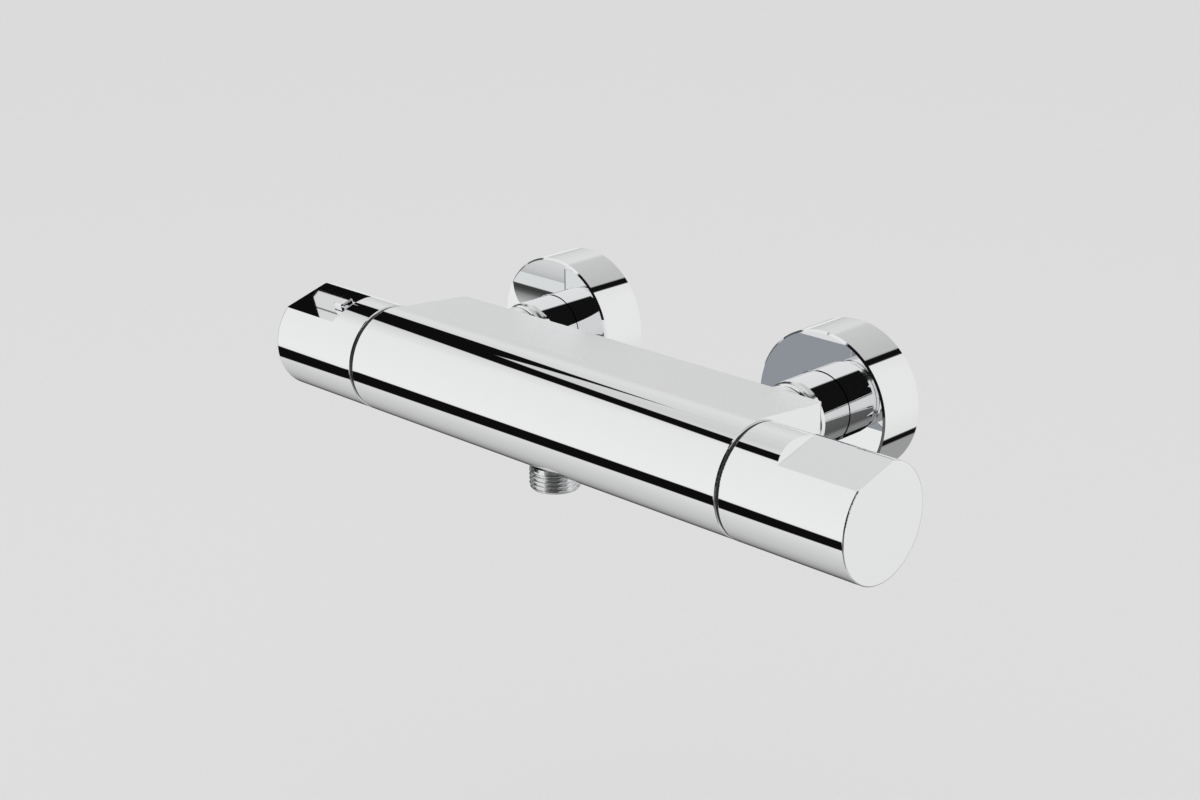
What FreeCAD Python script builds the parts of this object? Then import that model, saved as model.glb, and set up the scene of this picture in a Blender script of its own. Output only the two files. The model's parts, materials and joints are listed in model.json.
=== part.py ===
import FreeCAD, Part
import math
import os
from FreeCAD import Vector

# Thermostatic shower valve: a round bar with a flat shelf behind it, a temperature handle on
# the right, a flow handle on the left, a hose outlet below and two wall unions behind.
# Millimetres. Everything is laid out from the bar's axis (X along the bar, +Y towards the
# wall, +Z up) and moved at the end, so that the origin lies on the wall plane.

# ---------------------------------------------------------------- driving sizes: bar and shelf
inlet_spacing = 150.0
bar_radius = 23.0
inlet_to_body_end = 27.0
body_edge_round = 0.8
shelf_inset = 2.0
shelf_depth = 41.0
shelf_slope = 5.2
rear_face_height = 32.4
shelf_corner_round = 2.0

# ---------------------------------------------------------------- driving sizes: wall side
rear_to_wall = 52.5
union_offset = 6.0
wall_thread_radius = 10.4775
wall_thread_length = 12.5
wall_thread_relief = 1.0
thread_lead = 1.0
wall_bore_radius = 7.5
union_thread_radius = 13.2
union_thread_length = 15.0
union_waist_radius = 11.6
union_shift_length = 6.5
tail_radius = 9.6
tail_bore_radius = 8.0
tail_depth = 7.8
tail_flange_radius = 11.9
tail_flange_length = 3.2
nut_radius = 14.95
nut_lip_length = 3.6
nut_collar_radius = 14.25
nut_collar_length = 1.8
nut_collar_edge = 0.45
nut_neck_drop = 0.3
nut_neck_length = 0.4
nut_round_length = 2.6
nut_hex_width = 30.0
nut_hex_length = 6.5
washer_thickness = 2.0
washer_bore_radius = 8.4
strainer_thickness = 0.6
strainer_hole_radius = 1.9
strainer_hole_ring = 5.2
strainer_hole_count = 6
boss_radius = 14.2
boss_height = 9.0
boss_chamfer = 0.5
escutcheon_radius = 31.6
escutcheon_depth = 22.5
escutcheon_wall = 1.4
escutcheon_bevel = 0.8
escutcheon_guide_length = 4.0
escutcheon_guide_wall = 1.5

# ---------------------------------------------------------------- driving sizes: check valves
check_inset = 1.3
check_wall = 1.3
check_length = 15.6
check_seat_length = 1.8
check_seat_radius = 4.6
check_guide_length = 2.0
check_guide_inset = 1.5
check_guide_hole_radius = 1.7
check_guide_hole_ring = 4.1
check_guide_hole_count = 4
poppet_radius = 5.7
poppet_thickness = 2.2
poppet_stem_radius = 1.2
poppet_stem_reach = 2.0
poppet_chamfer = 0.8

# ---------------------------------------------------------------- driving sizes: waterways
inlet_way_radius = 7.0
inlet_way_end = 19.0
gallery_radius = 4.5
gallery_depth = 23.5
mixed_way_radius = 6.5
chamber_radius = 11.5
chamber_length = 14.0
discharge_radius = 3.2
discharge_drop = 16.0

# ---------------------------------------------------------------- driving sizes: hose outlet
outlet_thread_radius = 10.4775
outlet_x = -3.0
outlet_drop = 31.3
outlet_neck_radius = 9.95
outlet_neck_length = 6.3
outlet_groove_step = 1.8
outlet_shoulder_gap = 0.3
outlet_hex_width = 12.0
outlet_way_radius = 5.2
outlet_lead = 0.85

# ---------------------------------------------------------------- driving sizes: handles
temperature_handle_length = 56.8
flow_handle_length = 49.8
handle_edge_round = 0.6
handle_end_wall = 3.5
handle_bore_radius = 18.3
temperature_flat_height = 20.45
flow_flat_height = 19.9
flat_angle = 16.0
temperature_flat_length = 35.5
flow_flat_length = 31.3
flat_shoulder_run = 2.2
seam_width = 1.2
hub_play = 0.4
temperature_hub_length = 14.0
flow_hub_length = 21.0
hub_wall = 2.6
hub_rib_count = 6
hub_rib_width = 1.8
hub_web = 3.2
hub_boss_radius = 8.6
grub_screw_radius = 2.0
grub_screw_angle_temperature = 240.0
grub_screw_angle_flow = 196.0
grub_hex_width = 2.0
grub_hex_depth = 2.0
grub_stand = 1.5
grub_post_wall = 1.6

# ---------------------------------------------------------------- driving sizes: push buttons
button_half_length = 3.1
button_half_width = 3.3
button_lip = 1.2
button_lip_thickness = 1.6
button_stand = 3.2
button_chamfer = 0.6
button_corner = 0.8
button_travel = 1.6
button_pocket_floor = 9.2
temperature_button_angle = 196.0
temperature_button_stand = 1.2
flow_button_to_shoulder = 4.9
temperature_button_inset = 16.5

# ---------------------------------------------------------------- driving sizes: shared spindle fit
end_bore_radius = 17.0
end_bore_depth = 14.0
nose_radius = 10.8
spline_tip_radius = 5.4
spline_root_radius = 4.7
spline_teeth = 16
spline_length = 13.5
slide_ring_lip = 1.05
slide_ring_recess = 0.85
slide_ring_spigot = 2.2
slide_ring_sleeve = 5.2
slide_ring_wall = 1.9
slide_ring_step = 0.8
stop_ring_length = 3.7
stop_lug_length = 3.4
stop_ring_wall = 4.0
stop_lug_half_angle = 8.0
stop_margin = 1.0
hotter_range = 75.0
colder_range = 150.0
flow_range = 90.0

# ---------------------------------------------------------------- driving sizes: thermostatic cartridge
cartridge_bore_radius = 15.0
cold_seat_inset = 1.6
seat_spacing = 12.8
hot_lip_length = 6.6
cartridge_inner_radius = 12.0
cartridge_lip_radius = 10.5
cartridge_flange_length = 3.4
cartridge_nose_length = 20.5
port_count = 4
port_half_angle = 28.0
port_turn = 90.0
port_width = 3.8
waterway_radius = 13.4
hot_waterway_length = 4.4
cold_waterway_length = 10.4
ring_nut_length = 7.8
ring_nut_slots = 4
ring_nut_slot_turn = 45.0
ring_nut_slot_width = 3.0
ring_nut_slot_depth = 2.5
temperature_shaft_radius = 7.55
temperature_shaft_bore = 4.5
shaft_head_radius = 9.6
shaft_head_length = 3.6
shaft_head_room = 10.0
shaft_end_gap = 0.5
shaft_pocket_wall = 3.0
shaft_seal_place = 16.0
shuttle_length = 9.8
shuttle_wall = 1.7
shuttle_hub_radius = 6.0
shuttle_arms = 4
shuttle_arm_width = 2.6
shuttle_arm_length = 3.0
shuttle_hub_length = 3.5
shuttle_seal_section = 0.5
shuttle_groove_width = 1.3
wax_capsule_radius = 6.0
wax_capsule_length = 15.5
wax_flange_radius = 8.4
wax_flange_length = 2.0
wax_flange_step = 0.6
wax_capsule_nose = 1.5
wax_guide_reach = 2.0
wax_guide_radius = 4.2
wax_pin_radius = 1.9
pusher_length = 5.2
pusher_inset = 0.5
pusher_chamfer = 0.6

# ---------------------------------------------------------------- driving sizes: ceramic headwork
headwork_bore_radius = 11.5
headwork_seat_inset = 11.0
headwork_cavity_radius = 9.0
headwork_groove_step = 0.7
headwork_nose_length = 16.0
headwork_hex_width = 27.0
headwork_hex_length = 5.8
headwork_window_width = 5.0
headwork_window_half_angle = 28.0
headwork_window_count = 4
seal_thickness = 2.0
seal_bore_radius = 5.4
disc_thickness = 3.0
disc_opening_inner = 2.2
disc_opening_outer = 6.6
disc_opening_half_angle = 40.0
driver_length = 5.4
driver_tang_width = 2.6
driver_tang_depth = 1.2
driver_tang_step = 0.4
driver_relief_length = 3.5
driver_relief_margin = 0.8
flow_shaft_radius = 5.5
circlip_thickness = 0.9
circlip_radius = 7.4
circlip_groove_depth = 0.7
circlip_half_angle = 150.0
flow_seal_place = 13.0

# ---------------------------------------------------------------- driving sizes: springs and seals
return_spring_radius = 7.6
return_spring_wire = 0.6
return_spring_turns = 5
coil_bends_per_turn = 20
coil_sides = 6
overload_spring_radius = 3.4
overload_spring_wire = 0.45
overload_spring_turns = 6
button_spring_radius = 2.2
button_spring_wire = 0.3
button_spring_turns = 4
check_spring_radius = 3.2
check_spring_wire = 0.3
check_spring_turns = 4
ring_section = 0.78
ring_sides = 8
ring_groove_width = 2.2
small_ring_section = 0.6
small_groove_width = 1.7

# ---------------------------------------------------------------- named clearances
body_gap = 0.3
turning_gap = 0.05
seated_gap = 0.1
seal_gap = 0.05
cut_over = 1.0
join_over = 0.5

# ---------------------------------------------------------------- places worked out from the sizes
slope = math.radians(shelf_slope)
shelf_top_rear = (bar_radius - shelf_depth * math.sin(slope)) / math.cos(slope)
inlet_z = shelf_top_rear - rear_face_height / 2.0
body_half_length = inlet_spacing / 2.0 + inlet_to_body_end
inlet_xs = {"left": -inlet_spacing / 2.0, "right": inlet_spacing / 2.0}
wall_y = shelf_depth + rear_to_wall
wall_axis_z = inlet_z - union_offset
row_shift = Vector(0.0, -wall_y, -wall_axis_z)

tail_start = shelf_depth - tail_depth
nut_start = shelf_depth + boss_height + seated_gap + body_gap + body_gap
flange_start = nut_start + nut_lip_length + body_gap
flange_end = flange_start + tail_flange_length
washer_start = flange_end + seal_gap
union_start = washer_start + washer_thickness + seal_gap
union_waist_start = union_start + union_thread_length
escutcheon_front = wall_y - escutcheon_depth
nut_hex_start = escutcheon_front + escutcheon_guide_length + body_gap
nut_end = nut_hex_start + nut_hex_length
nut_bore_radius = union_thread_radius + turning_gap + seated_gap
union_shift_end = wall_y - wall_thread_relief
union_shift_start = union_shift_end - union_shift_length
wall_thread_start = wall_y + wall_thread_relief
wall_thread_end = wall_thread_start + wall_thread_length

cold_seat_x = inlet_spacing / 2.0 - cold_seat_inset
hot_seat_x = cold_seat_x - seat_spacing
cartridge_seat_x = hot_seat_x - hot_lip_length
headwork_seat_u = inlet_spacing / 2.0 - headwork_seat_inset
headwork_window_u = inlet_spacing / 2.0

handle_start = body_half_length + seam_width
slide_ring_end = body_half_length + slide_ring_lip + slide_ring_sleeve
end_bore_start = body_half_length - end_bore_depth
slide_ring_bore = handle_bore_radius - 2.0 * turning_gap - slide_ring_wall
stop_ring_start = handle_start
stop_ring_end = stop_ring_start + stop_ring_length
stop_lug_end = stop_ring_end + stop_lug_length
stop_ring_radius = nose_radius + seated_gap + stop_ring_wall
cartridge_flange_start = end_bore_start + seated_gap
cartridge_flange_end = cartridge_flange_start + cartridge_flange_length
cartridge_nose_end = cartridge_flange_end + cartridge_nose_length
headwork_hex_start = end_bore_start + seated_gap
headwork_hex_end = headwork_hex_start + headwork_hex_length
headwork_nose_end = headwork_hex_end + headwork_nose_length
hub_start = max(cartridge_nose_end, stop_lug_end) + hub_play
spline_start = hub_start
spline_end = spline_start + spline_length
hub_radius = handle_bore_radius - seated_gap
lug_inner_radius = nose_radius + body_gap + seated_gap

O = Vector(0.0, 0.0, 0.0)
X = Vector(1.0, 0.0, 0.0)
Y = Vector(0.0, 1.0, 0.0)
Z = Vector(0.0, 0.0, 1.0)


# ---------------------------------------------------------------- shape helpers
def direction(angle):
    """Unit vector square to the bar, turned by angle from straight up towards the front."""
    turn = math.radians(angle)
    return Vector(0.0, -math.sin(turn), math.cos(turn))


def polygon_face(points):
    """Plane face inside a closed run of straight edges."""
    return Part.Face(Part.makePolygon(list(points) + [points[0]]))


def turned_x(outer, inner=None):
    """Solid turned about the bar's axis from (x, radius) pairs outside and inside."""
    inside = inner or [(outer[0][0], 0.0), (outer[-1][0], 0.0)]
    run = list(outer) + list(reversed(inside))
    return polygon_face([Vector(x, 0.0, radius) for x, radius in run]).revolve(O, X, 360)


def turned_y(outer, x, z, inner=None):
    """Solid turned about an axis towards the wall from (y, radius) pairs."""
    inside = inner or [(outer[0][0], 0.0), (outer[-1][0], 0.0)]
    run = list(outer) + list(reversed(inside))
    face = polygon_face([Vector(x, y, z + radius) for y, radius in run])
    return face.revolve(Vector(x, 0.0, z), Y, 360)


def turned_z(outer, inner=None):
    """Solid turned about the hose outlet's axis from (z, radius) pairs."""
    inside = inner or [(outer[0][0], 0.0), (outer[-1][0], 0.0)]
    run = list(outer) + list(reversed(inside))
    return polygon_face([Vector(radius, 0.0, z) for z, radius in run]).revolve(O, Z, 360)


def rod_x(radius, start, end):
    """Round bar along the bar's axis."""
    return Part.makeCylinder(radius, end - start, Vector(start, 0.0, 0.0), X)


def rod_y(radius, start, end, x, z):
    """Round bar towards the wall."""
    return Part.makeCylinder(radius, end - start, Vector(x, start, z), Y)


def rod_z(radius, start, end, x=0.0, y=0.0):
    """Upright round bar."""
    return Part.makeCylinder(radius, end - start, Vector(x, y, start), Z)


def hexagon(width, start, end, axis, centre):
    """Hexagonal bar of a given width across flats."""
    corner = width / math.sqrt(3.0)
    side = Z if abs(axis.z) < 0.5 else X
    points = []
    for step in range(6):
        arm = FreeCAD.Rotation(axis, 60.0 * step).multVec(side) * corner
        points.append(centre + axis * start + arm)
    return polygon_face(points).extrude(axis * (end - start))


def sector_x(inner, outer, start, end, first, last):
    """Part of a ring about the bar's axis between two angles from straight up."""
    middle = (first + last) / 2.0
    base = Vector(start, 0.0, 0.0)
    corner = [base + direction(first) * outer, base + direction(last) * outer]
    root = [base + direction(last) * inner, base + direction(first) * inner]
    rim = Part.Arc(corner[0], base + direction(middle) * outer, corner[1]).toShape()
    side = Part.LineSegment(corner[1], root[0]).toShape()
    bore = Part.Arc(root[0], base + direction(middle) * inner, root[1]).toShape()
    back = Part.LineSegment(root[1], corner[0]).toShape()
    return Part.Face(Part.Wire([rim, side, bore, back])).extrude(X * (end - start))


def upright_block(x, half_length, half_width, low, high, corner):
    """Upright block over a place on the bar's axis, with its upright edges cut off."""
    block = Part.makeBox(2.0 * half_length, 2.0 * half_width, high - low,
                         Vector(x - half_length, -half_width, low))
    upright = [edge for edge in block.Edges if abs(edge.tangentAt(0.0).z) > 0.9]
    return block.makeChamfer(corner, upright) if corner > 0.0 else block


def radial_block(x, half_length, half_width, low, high, angle, corner=0.0):
    """Block that stands out from the bar's axis between two radii at a given angle."""
    block = upright_block(x, half_length, half_width, low, high, corner)
    block.rotate(O, X, angle)
    return block


def radial_rod(x, radius, low, high, angle):
    """Round pin that stands out from the bar's axis between two radii."""
    pin = Part.makeCylinder(radius, high - low, Vector(x, 0.0, low), Z)
    pin.rotate(O, X, angle)
    return pin


def spline_bar(root, tip, start, end):
    """Toothed bar along the bar's axis, as on a valve spindle."""
    pitch = 360.0 / spline_teeth
    points = []
    for tooth in range(spline_teeth):
        for share, radius in ((-0.36, root), (-0.16, tip), (0.16, tip), (0.36, root)):
            points.append(Vector(start, 0.0, 0.0) + direction(pitch * (tooth + share)) * radius)
    return polygon_face(points).extrude(X * (end - start))


def coil(mean_radius, wire_radius, length, turns, start, axis):
    """Compression spring of round wire, from a start point along an axis."""
    rise = length - 2.0 * wire_radius

    bends = turns * coil_bends_per_turn
    rings = []
    for bend in range(bends + 1):
        turn = 2.0 * math.pi * bend / coil_bends_per_turn
        outward = Vector(math.cos(turn), math.sin(turn), 0.0)
        centre = outward * mean_radius + Z * (rise * bend / bends)
        rings.append([centre + (outward * math.cos(side) + Z * math.sin(side)) * wire_radius
                      for side in (2.0 * math.pi * step / coil_sides for step in range(coil_sides))])
    faces = [polygon_face(rings[0]), polygon_face(rings[-1])]
    for near, far in zip(rings, rings[1:]):
        for step in range(coil_sides):
            after = (step + 1) % coil_sides
            faces.append(polygon_face([near[step], near[after], far[step]]))
            faces.append(polygon_face([near[after], far[after], far[step]]))
    spring = Part.Solid(Part.makeShell(faces))
    if spring.Volume < 0.0:
        spring.reverse()
    spring.translate(Z * wire_radius)
    turn = FreeCAD.Rotation(Z, axis)
    spring.rotate(O, turn.Axis, math.degrees(turn.Angle))
    spring.translate(start)
    return spring


def seal_ring(centre, axis, mean_radius, section=ring_section):
    """Rubber ring with a bevelled section."""
    side = Z if abs(axis.z) < 0.5 else X
    corners = []
    for step in range(ring_sides):
        turn = 2.0 * math.pi * (step + 0.5) / ring_sides
        out = mean_radius + section * math.cos(turn) / math.cos(math.pi / ring_sides)
        along = section * math.sin(turn) / math.cos(math.pi / ring_sides)
        corners.append(centre + side * out + axis * along)
    return polygon_face(corners).revolve(centre, axis, 360)


def groove_x(floor, start, outer):
    """Ring-shaped cut for a seal, round the bar's axis."""
    end = start + ring_groove_width
    rim = outer + cut_over
    return turned_x([(start, rim), (end, rim)], [(start, floor), (end, floor)])


def round_circular_edges(shape, radius, places, axis_radius):
    """Round the full circles that lie at the given x and have the given radius."""
    chosen = []
    for edge in shape.Edges:
        curve = edge.Curve
        if isinstance(curve, Part.Circle) and abs(curve.Radius - axis_radius) < 1e-6:
            if any(abs(curve.Center.x - place) < 1e-6 for place in places):
                chosen.append(edge)
    return shape.makeFillet(radius, chosen)


def other_side(shape):
    """The same piece on the flow side of the bar."""
    return shape.mirror(O, X)


# ---------------------------------------------------------------- body
def shelf_prism():
    """Flat shelf behind the bar: its top and underside run on from the bar as tangents."""
    top_touch = Vector(0.0, bar_radius * math.sin(slope), bar_radius * math.cos(slope))
    top_rear = Vector(0.0, shelf_depth, shelf_top_rear)
    low_rear = Vector(0.0, shelf_depth, shelf_top_rear - rear_face_height)
    reach = math.hypot(low_rear.y, low_rear.z)
    bearing = math.atan2(low_rear.z, low_rear.y) - math.acos(bar_radius / reach)
    low_touch = Vector(0.0, bar_radius * math.cos(bearing), bar_radius * math.sin(bearing))
    half = body_half_length - shelf_inset
    face = polygon_face([O, top_touch, top_rear, low_rear, low_touch])
    prism = face.extrude(X * 2.0 * half)
    prism.translate(X * -half)
    upright = [e for e in prism.Edges
               if abs(e.CenterOfMass.y - shelf_depth) < 1e-6 and abs(abs(e.CenterOfMass.x) - half) < 1e-6]
    return prism.makeFillet(shelf_corner_round, upright)


def inlet_cuts(x):
    """Socket for the tail and the way in from one inlet."""
    mouth = shelf_depth + boss_height + cut_over
    socket = rod_y(tail_radius + seated_gap, tail_start - seated_gap, mouth, x, inlet_z)
    way = rod_y(inlet_way_radius, inlet_way_end, tail_start, x, inlet_z)
    return [socket, way]


def main_body():
    """Cast body with its cartridge bores, inlet sockets, galleries and outlet socket."""
    bar = rod_x(bar_radius, -body_half_length, body_half_length)
    bar = round_circular_edges(bar, body_edge_round, (-body_half_length, body_half_length), bar_radius)
    body = bar.fuse(shelf_prism())
    for x in inlet_xs.values():
        boss_end = shelf_depth + boss_height
        boss = turned_y([(shelf_depth - join_over, boss_radius), (boss_end - boss_chamfer, boss_radius),
                         (boss_end, boss_radius - boss_chamfer)], x, inlet_z)
        body = body.fuse(boss)
    hot_x = inlet_xs["left"]
    cold_x = inlet_xs["right"]
    hot_port_x = hot_seat_x + port_width / 2.0
    cuts = inlet_cuts(hot_x) + inlet_cuts(cold_x)
    feed_start = cartridge_bore_radius - cut_over
    cuts.append(rod_y(inlet_way_radius, feed_start, inlet_way_end + cut_over, cold_x, inlet_z))
    cuts.append(rod_x(cartridge_bore_radius, cartridge_seat_x, body_half_length + cut_over))
    cuts.append(rod_x(end_bore_radius, end_bore_start, body_half_length + cut_over))
    cuts.append(rod_x(chamber_radius, cartridge_seat_x - chamber_length, cartridge_seat_x + cut_over))
    cuts.append(rod_x(mixed_way_radius, -headwork_seat_u - cut_over, cartridge_seat_x))
    cuts.append(rod_x(headwork_bore_radius, -body_half_length - cut_over, -headwork_seat_u))
    cuts.append(rod_x(end_bore_radius, -body_half_length - cut_over, -end_bore_start))
    gallery = Part.makeCylinder(gallery_radius, hot_port_x - hot_x, Vector(hot_x, gallery_depth, inlet_z), X)
    cuts.append(gallery)
    feed_start = cartridge_bore_radius - 3.0 * cut_over
    cuts.append(rod_y(port_width / 2.0, feed_start, gallery_depth, hot_port_x, inlet_z))
    drop_start = Vector(-headwork_window_u, 0.0, -discharge_drop)
    cuts.append(Part.makeCylinder(discharge_radius, headwork_window_u + outlet_x, drop_start, X))
    drop_top = 2.0 * cut_over - headwork_bore_radius
    cuts.append(rod_z(discharge_radius - seated_gap, -discharge_drop, drop_top, -headwork_window_u))
    socket_top = discharge_radius - discharge_drop
    cuts.append(rod_z(outlet_neck_radius + seated_gap, -bar_radius - cut_over, socket_top, outlet_x))
    return body.cut(cuts[0].multiFuse(cuts[1:]))


# ---------------------------------------------------------------- hose outlet
def outlet_thread_run():
    """Length of the outlet's thread below the bar."""
    return outlet_drop - bar_radius - outlet_shoulder_gap


def shower_outlet():
    """Screwed nipple for the hose, with a hexagon inside for the key."""
    tip = -outlet_drop
    shoulder = tip + outlet_thread_run()
    top = shoulder + outlet_neck_length
    groove_low = shoulder + outlet_groove_step
    groove_floor = outlet_neck_radius - 2.0 * ring_section
    outer = [(tip, outlet_thread_radius - outlet_lead), (tip + outlet_lead, outlet_thread_radius),
             (shoulder, outlet_thread_radius), (shoulder, outlet_neck_radius),
             (groove_low, outlet_neck_radius), (groove_low, groove_floor),
             (groove_low + ring_groove_width, groove_floor),
             (groove_low + ring_groove_width, outlet_neck_radius),
             (top, outlet_neck_radius)]
    nipple = turned_z(outer, [(tip, outlet_way_radius), (top, outlet_way_radius)])
    nipple = nipple.cut(hexagon(outlet_hex_width, tip - cut_over, shoulder, Z, O))
    nipple.translate(X * outlet_x)
    return nipple


def outlet_seal():
    """Rubber ring between the nipple and the body."""
    centre = -outlet_drop + outlet_thread_run() + outlet_groove_step + ring_groove_width / 2.0
    radius = outlet_neck_radius + seated_gap - ring_section - seal_gap
    return seal_ring(Vector(outlet_x, 0.0, centre), Z, radius)


# ---------------------------------------------------------------- wall side, one set for each inlet
def inlet_tail(x):
    """Captive tail screwed into the body; its flange holds the union nut."""
    outer = [(tail_start, tail_radius), (flange_start, tail_radius), (flange_start, tail_flange_radius),
             (flange_end, tail_flange_radius)]
    return turned_y(outer, x, inlet_z, [(tail_start, tail_bore_radius), (flange_end, tail_bore_radius)])


def union_nut(x):
    """Sleeve nut: smooth where it shows, hexagonal behind the escutcheon's face."""
    collar_end = nut_start + nut_collar_length
    neck_end = collar_end + nut_neck_length
    neck_radius = nut_collar_radius - nut_neck_drop
    rise = (nut_radius - nut_collar_radius) / 2.0
    sleeve = turned_y([(nut_start, nut_collar_radius - nut_collar_edge),
                       (nut_start + nut_collar_edge, nut_collar_radius), (collar_end, nut_collar_radius),
                       (collar_end, neck_radius), (neck_end, neck_radius), (neck_end, nut_collar_radius),
                       (neck_end + nut_round_length / 3.0, nut_radius - rise / 2.0),
                       (neck_end + nut_round_length, nut_radius), (nut_hex_start, nut_radius)], x, inlet_z)
    centre = Vector(x, 0.0, inlet_z)
    nut = sleeve.fuse(hexagon(nut_hex_width, nut_hex_start, nut_end, Y, centre))
    lip_end = nut_start + nut_lip_length
    lip_bore = tail_radius + seated_gap
    hollow = turned_y([(nut_start - cut_over, lip_bore), (lip_end, lip_bore),
                       (lip_end, nut_bore_radius), (nut_end + cut_over, nut_bore_radius)], x, inlet_z)
    return nut.cut(hollow)


def inlet_washer(x):
    """Flat rubber washer between the tail and the union."""
    end = washer_start + washer_thickness
    return turned_y([(washer_start, tail_flange_radius), (end, tail_flange_radius)], x, inlet_z,
                    [(washer_start, washer_bore_radius), (end, washer_bore_radius)])


def inlet_strainer(x):
    """Dirt strainer that sits inside the washer."""
    start = washer_start + (washer_thickness - strainer_thickness) / 2.0
    end = start + strainer_thickness
    plate = rod_y(washer_bore_radius - seated_gap, start, end, x, inlet_z)
    low = start - cut_over
    high = end + cut_over
    holes = [rod_y(strainer_hole_radius, low, high, x, inlet_z)]
    for step in range(strainer_hole_count):
        arm = FreeCAD.Rotation(Y, 360.0 * step / strainer_hole_count).multVec(Z) * strainer_hole_ring
        holes.append(rod_y(strainer_hole_radius, low, high, x + arm.x, inlet_z + arm.z))
    return plate.cut(holes[0].multiFuse(holes[1:]))


def eccentric_union(x):
    """Offset wall union: union thread in front, shifted wall thread behind."""
    front_circle = Part.Wire(Part.makeCircle(union_waist_radius, Vector(x, union_shift_start, inlet_z), Y))
    rear_circle = Part.Wire(Part.makeCircle(union_waist_radius, Vector(x, union_shift_end, wall_axis_z), Y))
    shift = Part.makeLoft([front_circle, rear_circle], True, True)
    thread = turned_y([(union_start, union_thread_radius - thread_lead),
                       (union_start + thread_lead, union_thread_radius),
                       (union_waist_start, union_thread_radius), (union_waist_start, union_waist_radius),
                       (union_shift_start, union_waist_radius)], x, inlet_z)
    root = wall_thread_radius - wall_thread_relief
    wall_end = turned_y([(union_shift_end, root), (wall_thread_start, root),
                         (wall_thread_start, wall_thread_radius),
                         (wall_thread_end - thread_lead, wall_thread_radius), (wall_thread_end, root)],
                        x, wall_axis_z)
    body = thread.fuse(shift).fuse(wall_end)
    way = rod_y(tail_bore_radius, union_start - cut_over, union_shift_start, x, inlet_z)
    near_rim = Part.makeCircle(tail_bore_radius, Vector(x, union_shift_start, inlet_z), Y)
    far_rim = Part.makeCircle(wall_bore_radius, Vector(x, union_shift_end, wall_axis_z), Y)
    middle = Part.makeLoft([Part.Wire(near_rim), Part.Wire(far_rim)], True, True)
    wall_way = rod_y(wall_bore_radius, union_shift_end, wall_thread_end + cut_over, x, wall_axis_z)
    return body.cut(way.multiFuse([middle, wall_way]))


def escutcheon(x):
    """Deep round cover that slides on the nut and stands against the wall."""
    edge = escutcheon_bevel
    hole = nut_radius + body_gap
    guide = hole + escutcheon_guide_wall
    guide_end = escutcheon_front + escutcheon_guide_length
    inside = escutcheon_radius - escutcheon_wall
    plate = escutcheon_front + escutcheon_wall
    outer = [(escutcheon_front, escutcheon_radius - edge), (escutcheon_front + edge, escutcheon_radius),
             (wall_y, escutcheon_radius)]
    inner = [(escutcheon_front, hole), (guide_end, hole), (guide_end, guide), (plate, guide), (plate, inside),
             (wall_y, inside)]
    return turned_y(outer, x, inlet_z, inner)


# ---------------------------------------------------------------- check valves
check_start = tail_start + check_inset
check_end = check_start + check_length
check_seat_start = check_end - check_seat_length
check_guide_start = check_start + check_guide_inset
check_guide_end = check_guide_start + check_guide_length
poppet_end = check_seat_start - body_gap
poppet_start = poppet_end - poppet_thickness


def check_housing(x):
    """Plastic cage of the check valve, with its seat and its stem guide."""
    radius = tail_bore_radius - seated_gap
    inside = radius - check_wall
    shell = turned_y([(check_start, radius), (check_end, radius)], x, inlet_z,
                     [(check_start, inside), (check_seat_start, inside),
                      (check_seat_start, check_seat_radius),
                      (check_end, check_seat_radius)])
    guide = rod_y(inside + join_over, check_guide_start, check_guide_end, x, inlet_z)
    low = check_guide_start - cut_over
    high = check_guide_end + cut_over
    openings = [rod_y(poppet_stem_radius + seated_gap, low, high, x, inlet_z)]
    for step in range(check_guide_hole_count):
        turn = FreeCAD.Rotation(Y, 360.0 * (step + 0.5) / check_guide_hole_count)
        arm = turn.multVec(Z) * check_guide_hole_ring
        openings.append(rod_y(check_guide_hole_radius, low, high, x + arm.x, inlet_z + arm.z))
    guide = guide.cut(openings[0].multiFuse(openings[1:]))
    return shell.fuse(guide)


def check_poppet(x):
    """Valve disc with its stem; it lifts towards the body when water flows."""
    stem_start = check_guide_start - poppet_stem_reach
    outer = [(stem_start, poppet_stem_radius), (poppet_start, poppet_stem_radius),
             (poppet_start, poppet_radius),
             (poppet_end - poppet_chamfer, poppet_radius), (poppet_end, poppet_radius - poppet_chamfer)]
    return turned_y(outer, x, inlet_z)


def check_spring(x):
    """Light spring that closes the poppet."""
    start = Vector(x, check_guide_end + seal_gap, inlet_z)
    length = poppet_start - check_guide_end - 2.0 * seal_gap
    return coil(check_spring_radius, check_spring_wire, length, check_spring_turns, start, Y)


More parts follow.
